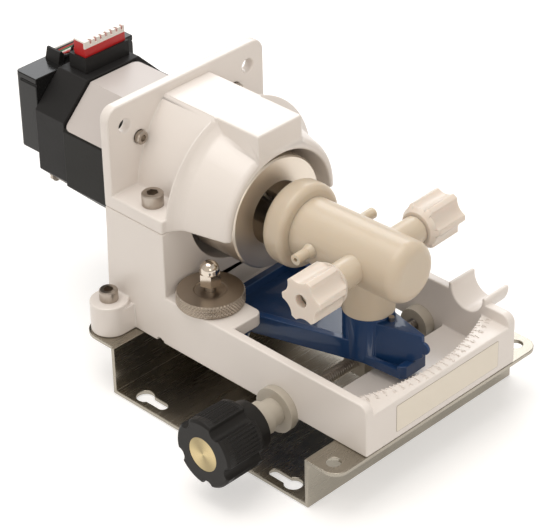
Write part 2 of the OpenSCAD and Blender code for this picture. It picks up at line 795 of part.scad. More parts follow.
module acorn_nut() {
    hex_r = 4.1;
    hex_h = 4.7;
    dome_r = 3.45;
    dome_h = 0.9;
    color("silver") translate([stud_x, stud_y, wall_top + disc_t + 2.7]) difference() {
        union() {
            rotate(51) cylinder(h = hex_h, r = hex_r, $fn = 6);
            translate([0, 0, hex_h - eps]) cylinder(h = dome_h, r1 = dome_r + 0.1, r2 = dome_r);
            translate([0, 0, hex_h + dome_h - 2 * eps]) intersection() {
                sphere(r = dome_r);
                translate([-10, -10, 0]) cube([20, 20, 10]);
            }
        }
        translate([0, 0, -1]) cylinder(h = 7.05, r = stud_r + 0.02);
    }
}

// Shroud

// Half section of the shroud's turned part: x is the radius, y runs back from the post's front
module hood_section() {
    cove = 4.2;
    edge = 1.2;
    polygon([[bore_r - 2, -hood_l], [barrel_r - edge, -hood_l], [barrel_r, -hood_l + edge],
        [barrel_back_r, -cove], [barrel_back_r + 0.9, -cove + 1.4], [barrel_back_r + 2.6, -1.4],
        [shoulder_r, 0], [waist_half_w + 1, hood_drop], [bore_r - 2, hood_drop]]);
}

// The pointed arch behind the shoulder, from two large cylinders
module hood_arch(length) {
    arch_r = 49.5;
    arch_x = arch_r - waist_half_w;
    intersection() {
        arch_side(arch_x, arch_r, length);
        arch_side(-arch_x, arch_r, length);
    }
}

module arch_side(x, r, length) {
    translate([x, 0, 0]) along_y() cylinder(h = length, r = r, $fn = 128);
}

module shroud() {
    big = 120;
    color("white") difference() {
        union() {
            intersection() {
                translate([0, post_front, axis_z]) union() {
                    translate([0, 0, hood_up]) rotate([-90, 0, 0]) rotate_extrude() hood_section();
                    hood_arch(post_d + 1);
                }
                translate([-side_x, -big, axis_z]) cube([2 * side_x, 2 * big, pad_top]);
            }
            // Raised pad
            translate([-pad_half_w, post_front - hood_l, axis_z])
                cube([2 * pad_half_w, hood_l + post_d + 1, pad_top]);
            // Feet
            translate([-side_x, post_front, axis_z]) cube([frame_w, post_d + 1, foot_t]);
            // Flange
            translate([0, flange_front, axis_z]) rotate([90, 0, 0]) mirror([0, 0, 1])
                linear_extrude(flange_t) flange_outline();
        }
        // Bore round the driver, and the opening for the motor's pilot
        translate([0, post_front - hood_l - 1, axis_z]) along_y() cylinder(h = hood_l + post_d + 1, r = bore_r);
        translate([0, flange_front - 1, axis_z]) along_y() cylinder(h = flange_t + 2, r = pilot_r + 0.1);
        for (x = [-1, 1]) {
            translate([x * flange_hole_x, flange_front - 1, axis_z + flange_hole_z]) along_y()
                cylinder(h = flange_t + 2, r = flange_hole_d / 2);
            translate([x * bolt_x, flange_front - 1, axis_z + bolt_x]) along_y()
                cylinder(h = flange_t + 2, r = 2.4);
            translate([x * shroud_screw_x, post_front + shroud_screw_y, axis_z + foot_t])
                cylinder(h = 40, r = 4.3);
            translate([x * shroud_screw_x, post_front + shroud_screw_y, axis_z - 1])
                cylinder(h = foot_t + 2, r = 2.55);
        }
    }
}

module flange_outline() {
    translate([-side_x, 0]) square([frame_w, flange_up - flange_corner_r]);
    translate([-side_x + flange_corner_r, 0]) square([frame_w - 2 * flange_corner_r, flange_up]);
    for (x = [-1, 1]) translate([x * (side_x - flange_corner_r), flange_up - flange_corner_r])
        circle(r = flange_corner_r);
}

module shroud_screws() {
    color("gray") both_sides()
        translate([shroud_screw_x, post_front + shroud_screw_y, axis_z + foot_t])
            cap_screw(2.35, 3.95, 4.8, foot_t + 10);
}

// Motor

module motor_outline(half) {
    c = motor_chamfer;
    polygon([[-half + c, -half], [half - c, -half], [half, -half + c], [half, half - c],
        [half - c, half], [-half + c, half], [-half, half - c], [-half, -half + c]]);
}

module motor_prism(from, to, half) {
    translate([0, from, axis_z]) rotate([90, 0, 0]) mirror([0, 0, 1])
        linear_extrude(to - from) motor_outline(half);
}

module motor_flange() {
    corner = 3;
    translate([0, frame_rear + 0.05, axis_z]) rotate([90, 0, 0]) mirror([0, 0, 1])
        rounded_plate(motor_flange_w, motor_flange_w, motor_flange_t, corner);
}

module motor_body() {
    half = motor_w / 2;
    color("black") difference() {
        union() {
            motor_flange();
            motor_prism(frame_rear + 1, motor_rear, half);
            translate([0, frame_rear - 1.6, axis_z]) along_y() cylinder(h = 2, r = pilot_r);
        }
        translate([0, frame_rear + motor_flange_t, axis_z]) along_y() cylinder(h = motor_l, r = motor_bore_r);
        translate([0, frame_rear - 3, axis_z]) along_y() cylinder(h = 12, r = 6.5);
        translate([0, frame_rear - 0.6, axis_z]) along_y() cylinder(h = 5, r = 9.52);
        for (x = [-1, 1], z = [-1, 1])
            translate([x * bolt_x, frame_rear - 1, axis_z + z * bolt_x]) along_y()
                cylinder(h = motor_flange_t + 2, r = 2.1);
    }
}

module motor_stator() {
    slots = 8;
    color("gray") translate([0, frame_rear + motor_flange_t + 1, axis_z]) along_y() difference() {
        cylinder(h = motor_l - motor_flange_t - 2, r = motor_bore_r - 0.02);
        translate([0, 0, -1]) cylinder(h = motor_l, r = rotor_r + 0.4);
        for (i = [0:slots - 1]) rotate(i * 360 / slots)
            translate([rotor_r + 3.8, 0, -1]) cylinder(h = motor_l, r = 2.3);
    }
}

module motor_rotor() {
    color("dimgray") translate([0, frame_rear + motor_flange_t + 2, axis_z]) along_y() difference() {
        cylinder(h = motor_l - motor_flange_t - 4, r = rotor_r);
        translate([0, 0, -1]) cylinder(h = motor_l, r = shaft_r);
    }
}

module motor_shaft() {
    color("silver") translate([0, frame_rear - shaft_out, axis_z]) along_y()
        cylinder(h = shaft_out + motor_l + 5, r = shaft_r);
}

module motor_bearings() {
    bearing_w = 4.4;
    color("silver") for (y = [frame_rear - 0.6, motor_rear + 0.2])
        translate([0, y, axis_z]) along_y() difference() {
            cylinder(h = bearing_w, r = 9.5);
            translate([0, 0, -1]) cylinder(h = bearing_w + 2, r = shaft_r + shaft_gap);
        }
}

module end_cap_outline() {
    half = motor_w / 2 - 0.7;
    down = motor_w / 2 - 1;
    low = motor_chamfer;
    high = cap_chamfer;
    polygon([[-half + low, -down], [half - low, -down], [half, -down + low], [half, cap_up - high],
        [half - high, cap_up], [-half + high, cap_up], [-half, cap_up - high], [-half, -down + low]]);
}

module motor_end_cap() {
    color("black") difference() {
        translate([0, motor_rear, axis_z]) rotate([90, 0, 0]) mirror([0, 0, 1])
            linear_extrude(end_cap_l) end_cap_outline();
        translate([0, motor_rear - 1, axis_z]) along_y() cylinder(h = 1 + 0.2 + 4.5, r = 9.52);
        translate([0, motor_rear - 1, axis_z]) along_y() cylinder(h = 9, r = 5);
        for (x = [-1, 1], z = [-1, 1])
            translate([x * cap_screw_x, cap_rear - 6, axis_z + z * cap_screw_x]) along_y()
                cylinder(h = 7, r = 1.5);
    }
}

module motor_rear_cover() {
    half_w = motor_w / 2 - 2;
    up = motor_w / 2;
    down = 5.2;
    wall = 2;
    color("black") difference() {
        union() {
            translate([-half_w, cap_rear, axis_z - down]) cube([2 * half_w, rear_cover_l - 2, up + down]);
            translate([-half_w + 2, cap_rear, axis_z - down])
                cube([2 * half_w - 4, rear_cover_l, up + down]);
            both_sides() translate([half_w - 2, cover_rear - 2, axis_z - down])
                cylinder(h = up + down, r = 2);
        }
        intersection() {
            translate([-half_w + wall, cap_rear - 1, axis_z - down + wall])
                cube([2 * (half_w - wall), rear_cover_l - wall + 1, up + down - 2 * wall]);
            motor_prism(cap_rear - 2, cover_rear, motor_w / 2 - 1.5);
        }
        for (x = [-1, 1]) translate([x * cap_screw_x, cap_rear - 1, axis_z + cap_screw_x])
            along_y() cylinder(h = 3, r = 2.95);
        // Lid line near the top
        for (x = [-1, 1]) translate([x * half_w - 0.3, cap_rear - 1, axis_z + up - 3])
            cube([0.6, rear_cover_l - 2, 0.8]);
    }
}

module motor_screws() {
    rear = frame_rear + motor_flange_t;
    color("gray") for (x = [-1, 1]) {
        translate([x * bolt_x, flange_front, axis_z + bolt_x]) rotate([90, 0, 0])
            cap_screw(2, 2.5, 1.9, flange_t + motor_flange_t + 5);
        translate([x * bolt_x, rear + 0.1, axis_z - bolt_x]) along_y()
            cap_screw(2, 3.4, 4, motor_flange_t + 10);
    }
}

module motor_nuts() {
    nut_h = 3;
    color("gray") both_sides()
        translate([bolt_x, frame_rear + motor_flange_t + 0.1, axis_z + bolt_x]) along_y()
            difference() {
                cylinder(h = nut_h, r = 3.6, $fn = 6);
                translate([0, 0, -1]) cylinder(h = nut_h + 2, r = 2.02);
            }
}

module end_cap_screws() {
    color("silver") for (x = [-1, 1], z = [-1, 1])
        translate([x * cap_screw_x, cap_rear, axis_z + z * cap_screw_x]) along_y() difference() {
            union() {
                translate([0, 0, -5]) cylinder(h = 5 + eps, r = 1.48);
                cylinder(h = 1.6, r = 2.6);
            }
            translate([-3, -0.3, 1]) cube([6, 0.6, 1]);
        }
}

// Driver

module driver() {
    front = pivot_y - driver_front;
    back = pivot_y + driver_back;
    color("gainsboro") difference() {
        union() {
            translate([0, front, axis_z]) along_y() union() {
                cylinder(h = 0.6, r1 = driver_r - 0.6, r2 = driver_r);
                translate([0, 0, 0.6 - eps]) cylinder(h = back - front - 0.6, r = driver_r);
            }
            translate([0, back - 1, axis_z]) along_y() cylinder(h = driver_hub_l + 1, r = driver_hub_r);
        }
        translate([0, front - 1, axis_z]) along_y()
            cylinder(h = driver_front + cavity_back + 1, r = cavity_r);
        translate([0, front, axis_z]) along_y() cylinder(h = 80, r = shaft_r + 0.02);
        translate([0, pivot_y, axis_z]) cylinder(h = driver_r + 2, r = race_r + 0.02);
        translate([0, back + driver_hub_l / 2, axis_z]) cylinder(h = driver_hub_r + 2, r = 2.02);
    }
}

module driver_set_screw() {
    color("dimgray") translate([0, pivot_y + driver_back + driver_hub_l / 2, axis_z + shaft_r])
        difference() {
            cylinder(h = driver_hub_r - shaft_r - 0.3, r = 2);
            translate([0, 0, driver_hub_r - shaft_r - 3]) cylinder(h = 4, r = 1.1, $fn = 6);
        }
}

module bearing_race() {
    color("silver") translate([0, pivot_y, axis_z]) difference() {
        translate([0, 0, cavity_r + 0.6]) cylinder(h = driver_r - cavity_r - 1.2, r = race_r);
        translate([0, 0, ball_at]) sphere(r = ball_r + shaft_gap);
        cylinder(h = 40, r = 2.6);
    }
}

module drive_ball() {
    color("gray") translate([0, pivot_y, axis_z + ball_at]) difference() {
        intersection() {
            sphere(r = ball_r);
            translate([-5, -5, -3]) cube([10, 10, 6]);
        }
        translate([0, 0, -5]) cylinder(h = 10, r = drive_pin_r + shaft_gap);
    }
}

// Pump head

module piston() {
    color("ivory") on_head() translate([0, 0, 3.4]) difference() {
        cylinder(h = port_s - 5, r = piston_r);
        translate([1.2, -10, port_s - 5 - 8]) cube([10, 20, 10]);
    }
}

module piston_cap() {
    color("silver") on_head() difference() {
        translate([0, 0, -4.6]) cylinder(h = 13, r = piston_r + 1);
        translate([0, 0, 3.4]) cylinder(h = 20, r = piston_r + 0.02);
        rotate([-90, 0, 0]) translate([0, 0, -3]) cylinder(h = 20, r = drive_pin_r + 0.02);
    }
}

module drive_pin() {
    tip = cavity_r - 1;
    color("gray") on_head() rotate([-90, 0, 0]) union() {
        translate([0, 0, -3]) cylinder(h = tip + 2.6, r = drive_pin_r);
        translate([0, 0, tip - 0.4 - eps]) cylinder(h = 0.4, r1 = drive_pin_r, r2 = drive_pin_r - 0.4);
    }
}

// Half section of the head's body: x is the radius, y the distance from the pivot
module head_section() {
    collar_front = collar_back + collar_l;
    translate([0, head_from]) square([head_r - 0.6, collar_front - head_from + 1]);
    translate([0, collar_front + 0.02]) square([head_r, head_end - nose_round - collar_front - 0.02]);
    translate([0, head_end - nose_round - eps]) square([head_r - nose_round, nose_round + eps]);
    translate([head_r - nose_round, head_end - nose_round]) circle(r = nose_round);
}

module head_body() {
    stem_top = axis_z - stem_drop;
    left = port_reach - 4;
    right = left + nut_slack;
    neck = port_reach - nut_l - 0.5;
    color("cornsilk") difference() {
        union() {
            on_head() rotate_extrude() intersection() {
                head_section();
                square([60, 120]);
            }
            at_pivot() translate([0, -stem_s, stem_top]) cylinder(h = stem_drop, r = stem_r);
            at_pivot() translate([0, -stem_s, carrier_z + floor_t + 2.2])
                cylinder(h = stem_top - carrier_z - floor_t - 2, r = socket_bore_r);
            on_head() translate([-left, 0, port_s]) along_x() cylinder(h = left + right, r = neck_r - 1.2);
            on_head() translate([-neck, 0, port_s]) along_x()
                cylinder(h = 2 * neck + nut_slack, r = neck_r);
        }
        // Bore for the seal and the liner, and the two port passages
        on_head() translate([0, 0, head_from - 1]) cylinder(h = liner_to - head_from + 1, r = liner_r + 0.02);
        on_head() translate([-60, 0, port_s]) along_x() cylinder(h = 120, r = port_bore_r);
        for (x = [-1, 1]) on_head() translate([x * (head_r - 3), 0, wash_s]) rotate([0, x * 90, 0])
            cylinder(h = 10, r = 1.6);
    }
}

module head_collar() {
    round_r = 4.4;
    color("wheat") on_head() rotate_extrude() difference() {
        union() {
            translate([0, collar_back]) square([collar_r - round_r, collar_l]);
            translate([0, collar_back + round_r]) square([collar_r, collar_l - round_r]);
            translate([collar_r - round_r, collar_back + round_r]) circle(r = round_r);
        }
        translate([-1, collar_back - 1]) square([piston_r + 0.4 + 1, collar_l + 2]);
        translate([-1, head_from - 0.05]) square([head_r - 0.6 + 0.05 + 1, collar_l + 2]);
        translate([-20, 0]) square([20, 60]);
    }
}

module lip_seal() {
    color("dimgray") on_head() translate([0, 0, seal_from]) difference() {
        cylinder(h = liner_from - seal_from, r = liner_r);
        translate([0, 0, -1]) cylinder(h = 20, r = piston_r + shaft_gap);
    }
}

module head_liner() {
    color("white") on_head() difference() {
        translate([0, 0, liner_from]) cylinder(h = liner_to - liner_from - 0.1, r = liner_r);
        translate([0, 0, liner_from - 1]) cylinder(h = 80, r = piston_r + shaft_gap);
        translate([-60, 0, port_s]) rotate([0, 90, 0]) cylinder(h = 120, r = port_bore_r);
    }
}

// A scalloped tube nut, standing on z = 0 with its outer face up
module port_nut() {
    flutes = 6;
    flute_r = 5.3;
    depth = 1.8;
    cone_l = 3;
    difference() {
        union() {
            cylinder(h = cone_l, r1 = nut_r - 2.2, r2 = nut_r);
            translate([0, 0, cone_l - eps]) cylinder(h = nut_l - cone_l, r = nut_r);
        }
        for (i = [0:flutes - 1]) rotate((i + 0.5) * 360 / flutes)
            translate([nut_r + flute_r - depth, 0, cone_l - 1]) cylinder(h = nut_l, r = flute_r);
        translate([0, 0, -1]) cylinder(h = nut_l - 2, r = neck_r - 1.2 + shaft_gap);
        translate([0, 0, -1]) cylinder(h = nut_l + 2, r = 2.4);
    }
}

module left_port_nut() {
    color("whitesmoke") on_head() translate([-port_reach + nut_l, 0, port_s]) rotate([0, -90, 0])
        rotate(7) port_nut();
}

module right_port_nut() {
    color("whitesmoke") on_head() translate([port_reach + nut_slack - nut_l, 0, port_s])
        rotate([0, 90, 0]) rotate(-3) port_nut();
}

module port_ferrules() {
    left = port_reach - 4;
    color("ivory") for (x = [-left, left + nut_slack]) on_head() translate([x, 0, port_s])
        rotate([0, sign(x) * 90, 0]) translate([0, 0, 0.05]) difference() {
            cylinder(h = 0.8, r = 2.3);
            translate([0, 0, -1]) cylinder(h = 3, r = port_bore_r);
        }
}

module wash_tube(reach) {
    root = head_r - 2.9;
    tip_r = 2;
    root_r = 2.8;
    difference() {
        union() {
            translate([0, 0, root]) cylinder(h = 4.4, r = 1.58);
            translate([0, 0, root + 2.95]) cylinder(h = 2.4, r1 = root_r, r2 = tip_r + 0.1);
            translate([0, 0, root + 3.5]) cylinder(h = reach - root - 3.5, r = tip_r);
        }
        cylinder(h = 40, r = 0.8);
    }
}

module wash_tubes() {
    color("wheat") on_head() translate([0, 0, wash_s]) {
        rotate([0, -90, 0]) wash_tube(wash_reach);
        rotate([0, 90, 0]) wash_tube(wash_reach + wash_slack);
    }
}

// Connector and leads on the motor

function contact_at(i) = contact_x + (i - (contacts - 1) / 2) * contact_pitch;

module connector_block() {
    half_l = plug_l / 2 + 0.9;
    top = 5.9;
    color("black") translate([plug_x, block_y, block_z]) difference() {
        translate([-half_l, -plug_w / 2 - 1, 0]) cube([2 * half_l, plug_w + 3, top]);
        translate([-plug_l / 2 - 0.1, -plug_w / 2 - 0.1, 2]) cube([plug_l + 0.2, plug_w + 0.2, top]);
    }
}

module header_pins() {
    color("gold") for (i = [0:contacts - 1])
        translate([contact_at(i) - 0.32, block_y - 0.32, block_z + 2]) cube([0.64, 0.64, 4.2]);
}

module plug_housing() {
    h = 9.4;
    color("red") translate([0, block_y, block_z + 2.05]) difference() {
        translate([plug_x - plug_l / 2, -plug_w / 2, 0]) cube([plug_l, plug_w, h]);
        translate([plug_x - plug_l / 2 - 1, -plug_w / 2 - 1, h - 2.1]) cube([plug_l + 2, 1.8, 3]);
        for (i = [0:contacts - 1])
            translate([contact_at(i) - 0.42, -0.42, -1]) cube([0.84, 0.84, 5.6]);
    }
}

module plug_cover() {
    top = block_z + 11.45;
    color("whitesmoke") translate([0, block_y, top]) difference() {
        union() {
            translate([plug_x - plug_l / 2, -plug_w / 2, 0]) cube([plug_l, plug_w, 0.6]);
            translate([plug_x - plug_l / 2, -plug_w / 2, -2.1]) cube([plug_l, 0.8, 2.2]);
        }
        for (i = [0:contacts - 1])
            translate([contact_at(i) - 0.5, -plug_w / 2 - 1, -1.1]) cube([1, 2.4, 3]);
    }
}

function tube_points(path, r, sides) = [for (i = [0:len(path) - 1])
    let (a = path[max(i - 1, 0)], b = path[min(i + 1, len(path) - 1)], t = (b - a) / norm(b - a),
        u = cross(t, [0, 0.3, 1]) / norm(cross(t, [0, 0.3, 1])), w = cross(t, u))
    for (k = [0:sides - 1]) path[i] + r * (cos(k * 360 / sides) * u + sin(k * 360 / sides) * w)];

function tube_faces(rings, sides) = concat(
    [[for (k = [0:sides - 1]) k]],
    [for (i = [0:rings - 2], k = [0:sides - 1])
        [i * sides + k, (i + 1) * sides + k, (i + 1) * sides + (k + 1) % sides, i * sides + (k + 1) % sides]],
    [[for (k = [sides - 1:-1:0]) (rings - 1) * sides + k]]);

lead_r = 0.5;
lead_lane = 1.05;
clip_x = contact_at(0) - 3.6;
clip_y = cap_rear + 2.6;
clip_z = axis_z + motor_w / 2;

// Route of a lead: out of the plug's back, down to its lane, round a bend and left into the clip
function lead_route(i) = let (x = contact_at(i), y0 = block_y + plug_w / 2, z0 = block_z + 9.5,
    y = clip_y + 0.5 + lead_lane * i, z = clip_z + 2.4)
    [[x, y0, z0], [x, y0 + 1, z0], [x, y0 + 2.2, z0 - 1], [x, (y0 + y) / 2 + 0.6, (z0 + z) / 2],
    [x, y - 2.2, z + 0.9], [x, y - 1.1, z + 0.2], [x - 0.35, y - 0.35, z], [x - 1.1, y, z],
    [x - 1.8, y, z], [clip_x + 2, y, z]];

module lead_wires() {
    color("firebrick") for (i = [0:contacts - 1]) let (route = lead_route(i))
        polyhedron(tube_points(route, lead_r, 8), tube_faces(len(route), 8));
}

// A wedge on the rear cover that holds the leads' ends
module cable_clip() {
    length = lead_lane * (contacts - 1) + 1;
    color("black") translate([clip_x, clip_y, clip_z]) rotate([90, 0, 0]) mirror([0, 0, 1])
        linear_extrude(length) polygon([[-1.2, 0], [1.8, 0], [1.8, 3.4], [0.9, 4.6], [0, 4.6]]);
}

base_channel();
base_frame();
frame_screws();
frame_nuts();
pivot_screw();
swing_carrier();
index_pin();
stem_set_screw();
traveller_nut();
lead_screw();
left_bushing();
right_bushing();
thrust_collar();
screw_clip();
adjust_knob();
knob_cap();
knob_set_screw();
lock_stud();
lock_disc();
acorn_nut();
shroud();
shroud_screws();
motor_body();
motor_stator();
motor_rotor();
motor_shaft();
motor_bearings();
motor_end_cap();
motor_rear_cover();
motor_screws();
motor_nuts();
end_cap_screws();
driver();
driver_set_screw();
bearing_race();
drive_ball();
piston();
piston_cap();
drive_pin();
head_body();
head_collar();
lip_seal();
head_liner();
left_port_nut();
right_port_nut();
port_ferrules();
wash_tubes();
connector_block();
header_pins();
plug_housing();
plug_cover();
lead_wires();
cable_clip();
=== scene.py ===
"""Stepper metering pump: looks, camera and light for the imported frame."""

import json
from math import atan2, cos, hypot, pi, radians, sin, tau

import bmesh
import bpy
from mathutils import Matrix, Vector
from mathutils.bvhtree import BVHTree


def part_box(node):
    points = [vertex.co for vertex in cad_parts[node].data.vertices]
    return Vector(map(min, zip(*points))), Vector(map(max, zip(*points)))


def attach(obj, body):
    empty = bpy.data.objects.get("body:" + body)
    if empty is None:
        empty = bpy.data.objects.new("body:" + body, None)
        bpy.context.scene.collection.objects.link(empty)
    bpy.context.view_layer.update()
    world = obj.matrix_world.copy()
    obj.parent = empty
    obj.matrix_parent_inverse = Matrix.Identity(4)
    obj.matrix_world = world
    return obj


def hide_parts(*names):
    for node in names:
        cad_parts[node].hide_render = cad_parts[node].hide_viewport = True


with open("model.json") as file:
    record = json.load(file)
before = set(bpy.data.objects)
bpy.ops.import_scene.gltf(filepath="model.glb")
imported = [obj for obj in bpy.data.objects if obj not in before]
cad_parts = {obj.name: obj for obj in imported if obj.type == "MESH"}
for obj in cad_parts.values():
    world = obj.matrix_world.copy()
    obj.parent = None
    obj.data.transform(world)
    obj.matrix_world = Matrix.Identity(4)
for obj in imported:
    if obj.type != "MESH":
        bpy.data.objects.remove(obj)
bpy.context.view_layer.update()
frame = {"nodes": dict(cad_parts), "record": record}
scene = bpy.context.scene

MM = 0.001
# Points closer than this are one point, in metres: on copies of CAD nodes, and on shapes made here
MERGE = 0.000002
FINE_MERGE = 0.0000005

# Places of the pump, in mm and degrees
AXIS_Z = 66.0
PIVOT_Y = 23.5
SWING_REST = 2.0
SCREW_Y = -21.6
SCREW_Z = 20.8
SHELF_Z = 35.65
SCALE_R = 80.5
STUD = (-28.331, 21.519)
FRONT_Y = -61.8
EAR_WEB_Z = 30.0
PAD_HALF = 10.8
COLLAR_R = 15.8
MOTOR_TOP = 92.0
MOTOR_CREASE = -11.5

# The same places as points, in metres
SCREW_AT = (0.0, SCREW_Y * MM, SCREW_Z * MM)
DRIVE_AT = (0.0, PIVOT_Y * MM, AXIS_Z * MM)
STUD_AT = (STUD[0] * MM, STUD[1] * MM, 0.0)


# Shader nodes

FLOAT = "NodeSocketFloat"
VECTOR = "NodeSocketVector"
COLOUR = "NodeSocketColor"


def node_group(name, inputs, outputs):
    """A shader node group with named sockets, and its input and output nodes."""
    group = bpy.data.node_groups.new(name, "ShaderNodeTree")
    for label, kind, value in inputs:
        socket = group.interface.new_socket(label, in_out="INPUT", socket_type=kind)
        if value is not None:
            socket.default_value = value
    for label, kind in outputs:
        group.interface.new_socket(label, in_out="OUTPUT", socket_type=kind)
    return group, group.nodes.new("NodeGroupInput"), group.nodes.new("NodeGroupOutput")


def add(tree, kind, **settings):
    """A new node with its properties and input values set by name."""
    node = tree.nodes.new(kind)
    for key, value in settings.items():
        if key in node.bl_rna.properties:
            setattr(node, key, value)
        else:
            node.inputs[key].default_value = value
    return node


def feed(tree, value, socket):
    """Gives a socket a constant, or links another socket to it."""
    if isinstance(value, (int, float)):
        socket.default_value = value
    else:
        tree.links.new(value, socket)


def math_node(tree, operation, *values):
    node = add(tree, "ShaderNodeMath", operation=operation)
    for value, socket in zip(values, node.inputs):
        feed(tree, value, socket)
    return node.outputs[0]


def vector_math(tree, operation, first, second):
    node = add(tree, "ShaderNodeVectorMath", operation=operation)
    tree.links.new(first, node.inputs[0])
    tree.links.new(second, node.inputs[1])
    return node.outputs["Vector"]


def lit(tree, colour, level):
    """A colour times a level."""
    node = add(tree, "ShaderNodeVectorMath", operation="SCALE")
    tree.links.new(colour, node.inputs[0])
    tree.links.new(level, node.inputs["Scale"])
    return node.outputs["Vector"]


def around(tree, value, middle, spread):
    """Maps a value of 0 to 1 to the middle less the spread, up to the middle plus the spread."""
    ramp = add(tree, "ShaderNodeMapRange")
    tree.links.new(value, ramp.inputs["Value"])
    tree.links.new(math_node(tree, "SUBTRACT", middle, spread), ramp.inputs["To Min"])
    tree.links.new(math_node(tree, "ADD", middle, spread), ramp.inputs["To Max"])
    return ramp.outputs["Result"]


def bumped(tree, height, depth):
    """A normal from a height of 0 to 1 and a depth in metres."""
    bump = add(tree, "ShaderNodeBump", Strength=1.0)
    tree.links.new(depth, bump.inputs["Distance"])
    tree.links.new(height, bump.inputs["Height"])
    return bump.outputs["Normal"]


def object_place(tree):
    return add(tree, "ShaderNodeTexCoord").outputs["Object"]


def soft_noise(tree, scale, detail=3.0):
    """Noise of 0 to 1 on Object coordinates."""
    noise = add(tree, "ShaderNodeTexNoise", Detail=detail, Roughness=0.55)
    tree.links.new(object_place(tree), noise.inputs["Vector"])
    feed(tree, scale, noise.inputs["Scale"])
    return noise.outputs["Fac"]


# Shared effects


def build_colour_drift():
    """Slow, faint change of a colour over the surface."""
    group, start, end = node_group(
        "colour_drift",
        [("Color", COLOUR, None), ("Scale", FLOAT, 60.0), ("Drift", FLOAT, 0.05)],
        [("Color", COLOUR)],
    )
    level = around(group, soft_noise(group, start.outputs["Scale"]), 1.0, start.outputs["Drift"])
    group.links.new(lit(group, start.outputs["Color"], level), end.inputs["Color"])
    return group


def build_fine_skin():
    """Orange peel or moulding texture: a small height, and a roughness in patches."""
    group, start, end = node_group(
        "fine_skin",
        [
            ("Scale", FLOAT, 900.0),
            ("Depth", FLOAT, 0.00002),
            ("Roughness", FLOAT, 0.3),
            ("Spread", FLOAT, 0.05),
        ],
        [("Roughness", FLOAT), ("Normal", VECTOR)],
    )
    peel = soft_noise(group, start.outputs["Scale"], detail=2.0)
    group.links.new(bumped(group, peel, start.outputs["Depth"]), end.inputs["Normal"])
    patches = soft_noise(group, scale=70.0)
    rough = around(group, patches, start.outputs["Roughness"], start.outputs["Spread"])
    group.links.new(rough, end.inputs["Roughness"])
    return group


def give_out(group, start, end, level):
    """Puts out a roughness and a normal that follow one level of 0 to 1."""
    rough = around(group, level, start.outputs["Roughness"], start.outputs["Spread"])
    group.links.new(rough, end.inputs["Roughness"])
    group.links.new(bumped(group, level, start.outputs["Depth"]), end.inputs["Normal"])


def build_brushed_grain():
    """Long scratches along the axis in which the stretch is least."""
    group, start, end = node_group(
        "brushed_grain",
        [
            ("Stretch", VECTOR, None),
            ("Depth", FLOAT, 0.00001),
            ("Roughness", FLOAT, 0.35),
            ("Spread", FLOAT, 0.1),
        ],
        [("Roughness", FLOAT), ("Normal", VECTOR)],
    )
    stretched = vector_math(group, "MULTIPLY", object_place(group), start.outputs["Stretch"])
    noise = add(group, "ShaderNodeTexNoise", Scale=1.0, Detail=4.0, Roughness=0.65)
    group.links.new(stretched, noise.inputs["Vector"])
    give_out(group, start, end, noise.outputs["Fac"])
    return group


def build_turning_marks():
    """Fine rings round an axis through the centre; Across is 1 in the two directions across it."""
    group, start, end = node_group(
        "turning_marks",
        [
            ("Centre", VECTOR, None),
            ("Across", VECTOR, None),
            ("Pitch", FLOAT, 4000.0),
            ("Depth", FLOAT, 0.00001),
            ("Roughness", FLOAT, 0.25),
            ("Spread", FLOAT, 0.1),
        ],
        [("Roughness", FLOAT), ("Normal", VECTOR)],
    )
    offset = vector_math(group, "SUBTRACT", object_place(group), start.outputs["Centre"])
    flat = vector_math(group, "MULTIPLY", offset, start.outputs["Across"])
    reach = add(group, "ShaderNodeVectorMath", operation="LENGTH")
    group.links.new(flat, reach.inputs[0])
    noise = add(group, "ShaderNodeTexNoise", noise_dimensions="1D", Detail=2.0)
    group.links.new(start.outputs["Pitch"], noise.inputs["Scale"])
    group.links.new(reach.outputs["Value"], noise.inputs["W"])
    give_out(group, start, end, noise.outputs["Fac"])
    return group


def build_painted_sheen_fan():
    """Painted sheen: brighter and darker sectors of a turned face at fixed turns, standing in for the
    streaks of light on spun metal, as a level about 1 that multiplies the colour.
    """
    group, start, end = node_group(
        "painted_sheen_fan",
        [("Centre", VECTOR, None), ("Contrast", FLOAT, 0.2)],
        [("Level", FLOAT)],
    )
    # Two bright and two dark sectors of painted sheen, with the first bright one at a fixed turn
    sectors, first_at = 2.0, 1.1
    offset = vector_math(group, "SUBTRACT", object_place(group), start.outputs["Centre"])
    parts = add(group, "ShaderNodeSeparateXYZ")
    group.links.new(offset, parts.inputs[0])
    turn = math_node(group, "ARCTAN2", parts.outputs["Z"], parts.outputs["Y"])
    phase = math_node(group, "ADD", math_node(group, "MULTIPLY", turn, sectors), first_at)
    wave = math_node(group, "COSINE", phase)
    level = math_node(group, "ADD", math_node(group, "MULTIPLY", wave, start.outputs["Contrast"]), 1.0)
    group.links.new(level, end.inputs["Level"])
    return group


COLOUR_DRIFT = build_colour_drift()
FINE_SKIN = build_fine_skin()
BRUSHED_GRAIN = build_brushed_grain()
TURNING_MARKS = build_turning_marks()
PAINTED_SHEEN_FAN = build_painted_sheen_fan()


# Materials


def finish_material(name, **sockets):
    """A new material and its Principled shader, with constants on the shader's sockets."""
    material = bpy.data.materials.new(name)
    material.use_nodes = True
    shader = material.node_tree.nodes["Principled BSDF"]
    for key, value in sockets.items():
        shader.inputs[key.replace("_", " ")].default_value = value
    return material, material.node_tree, shader


def place_group(tree, group, **values):
    """A group's node in a material, with its own values."""
    node = tree.nodes.new("ShaderNodeGroup")
    node.node_tree = group
    for key, value in values.items():
        node.inputs[key].default_value = value
    return node


def drifting(tree, colour, scale, drift):
    """A colour that changes a little over the surface."""
    return place_group(tree, COLOUR_DRIFT, Color=(*colour, 1.0), Scale=scale, Drift=drift).outputs["Color"]


def dress(tree, shader, colour, skin):
    """Feeds a shader's colour, and its roughness and normal from a group's node."""
    tree.links.new(colour, shader.inputs["Base Color"])
    for socket in ("Roughness", "Normal"):
        tree.links.new(skin.outputs[socket], shader.inputs[socket])


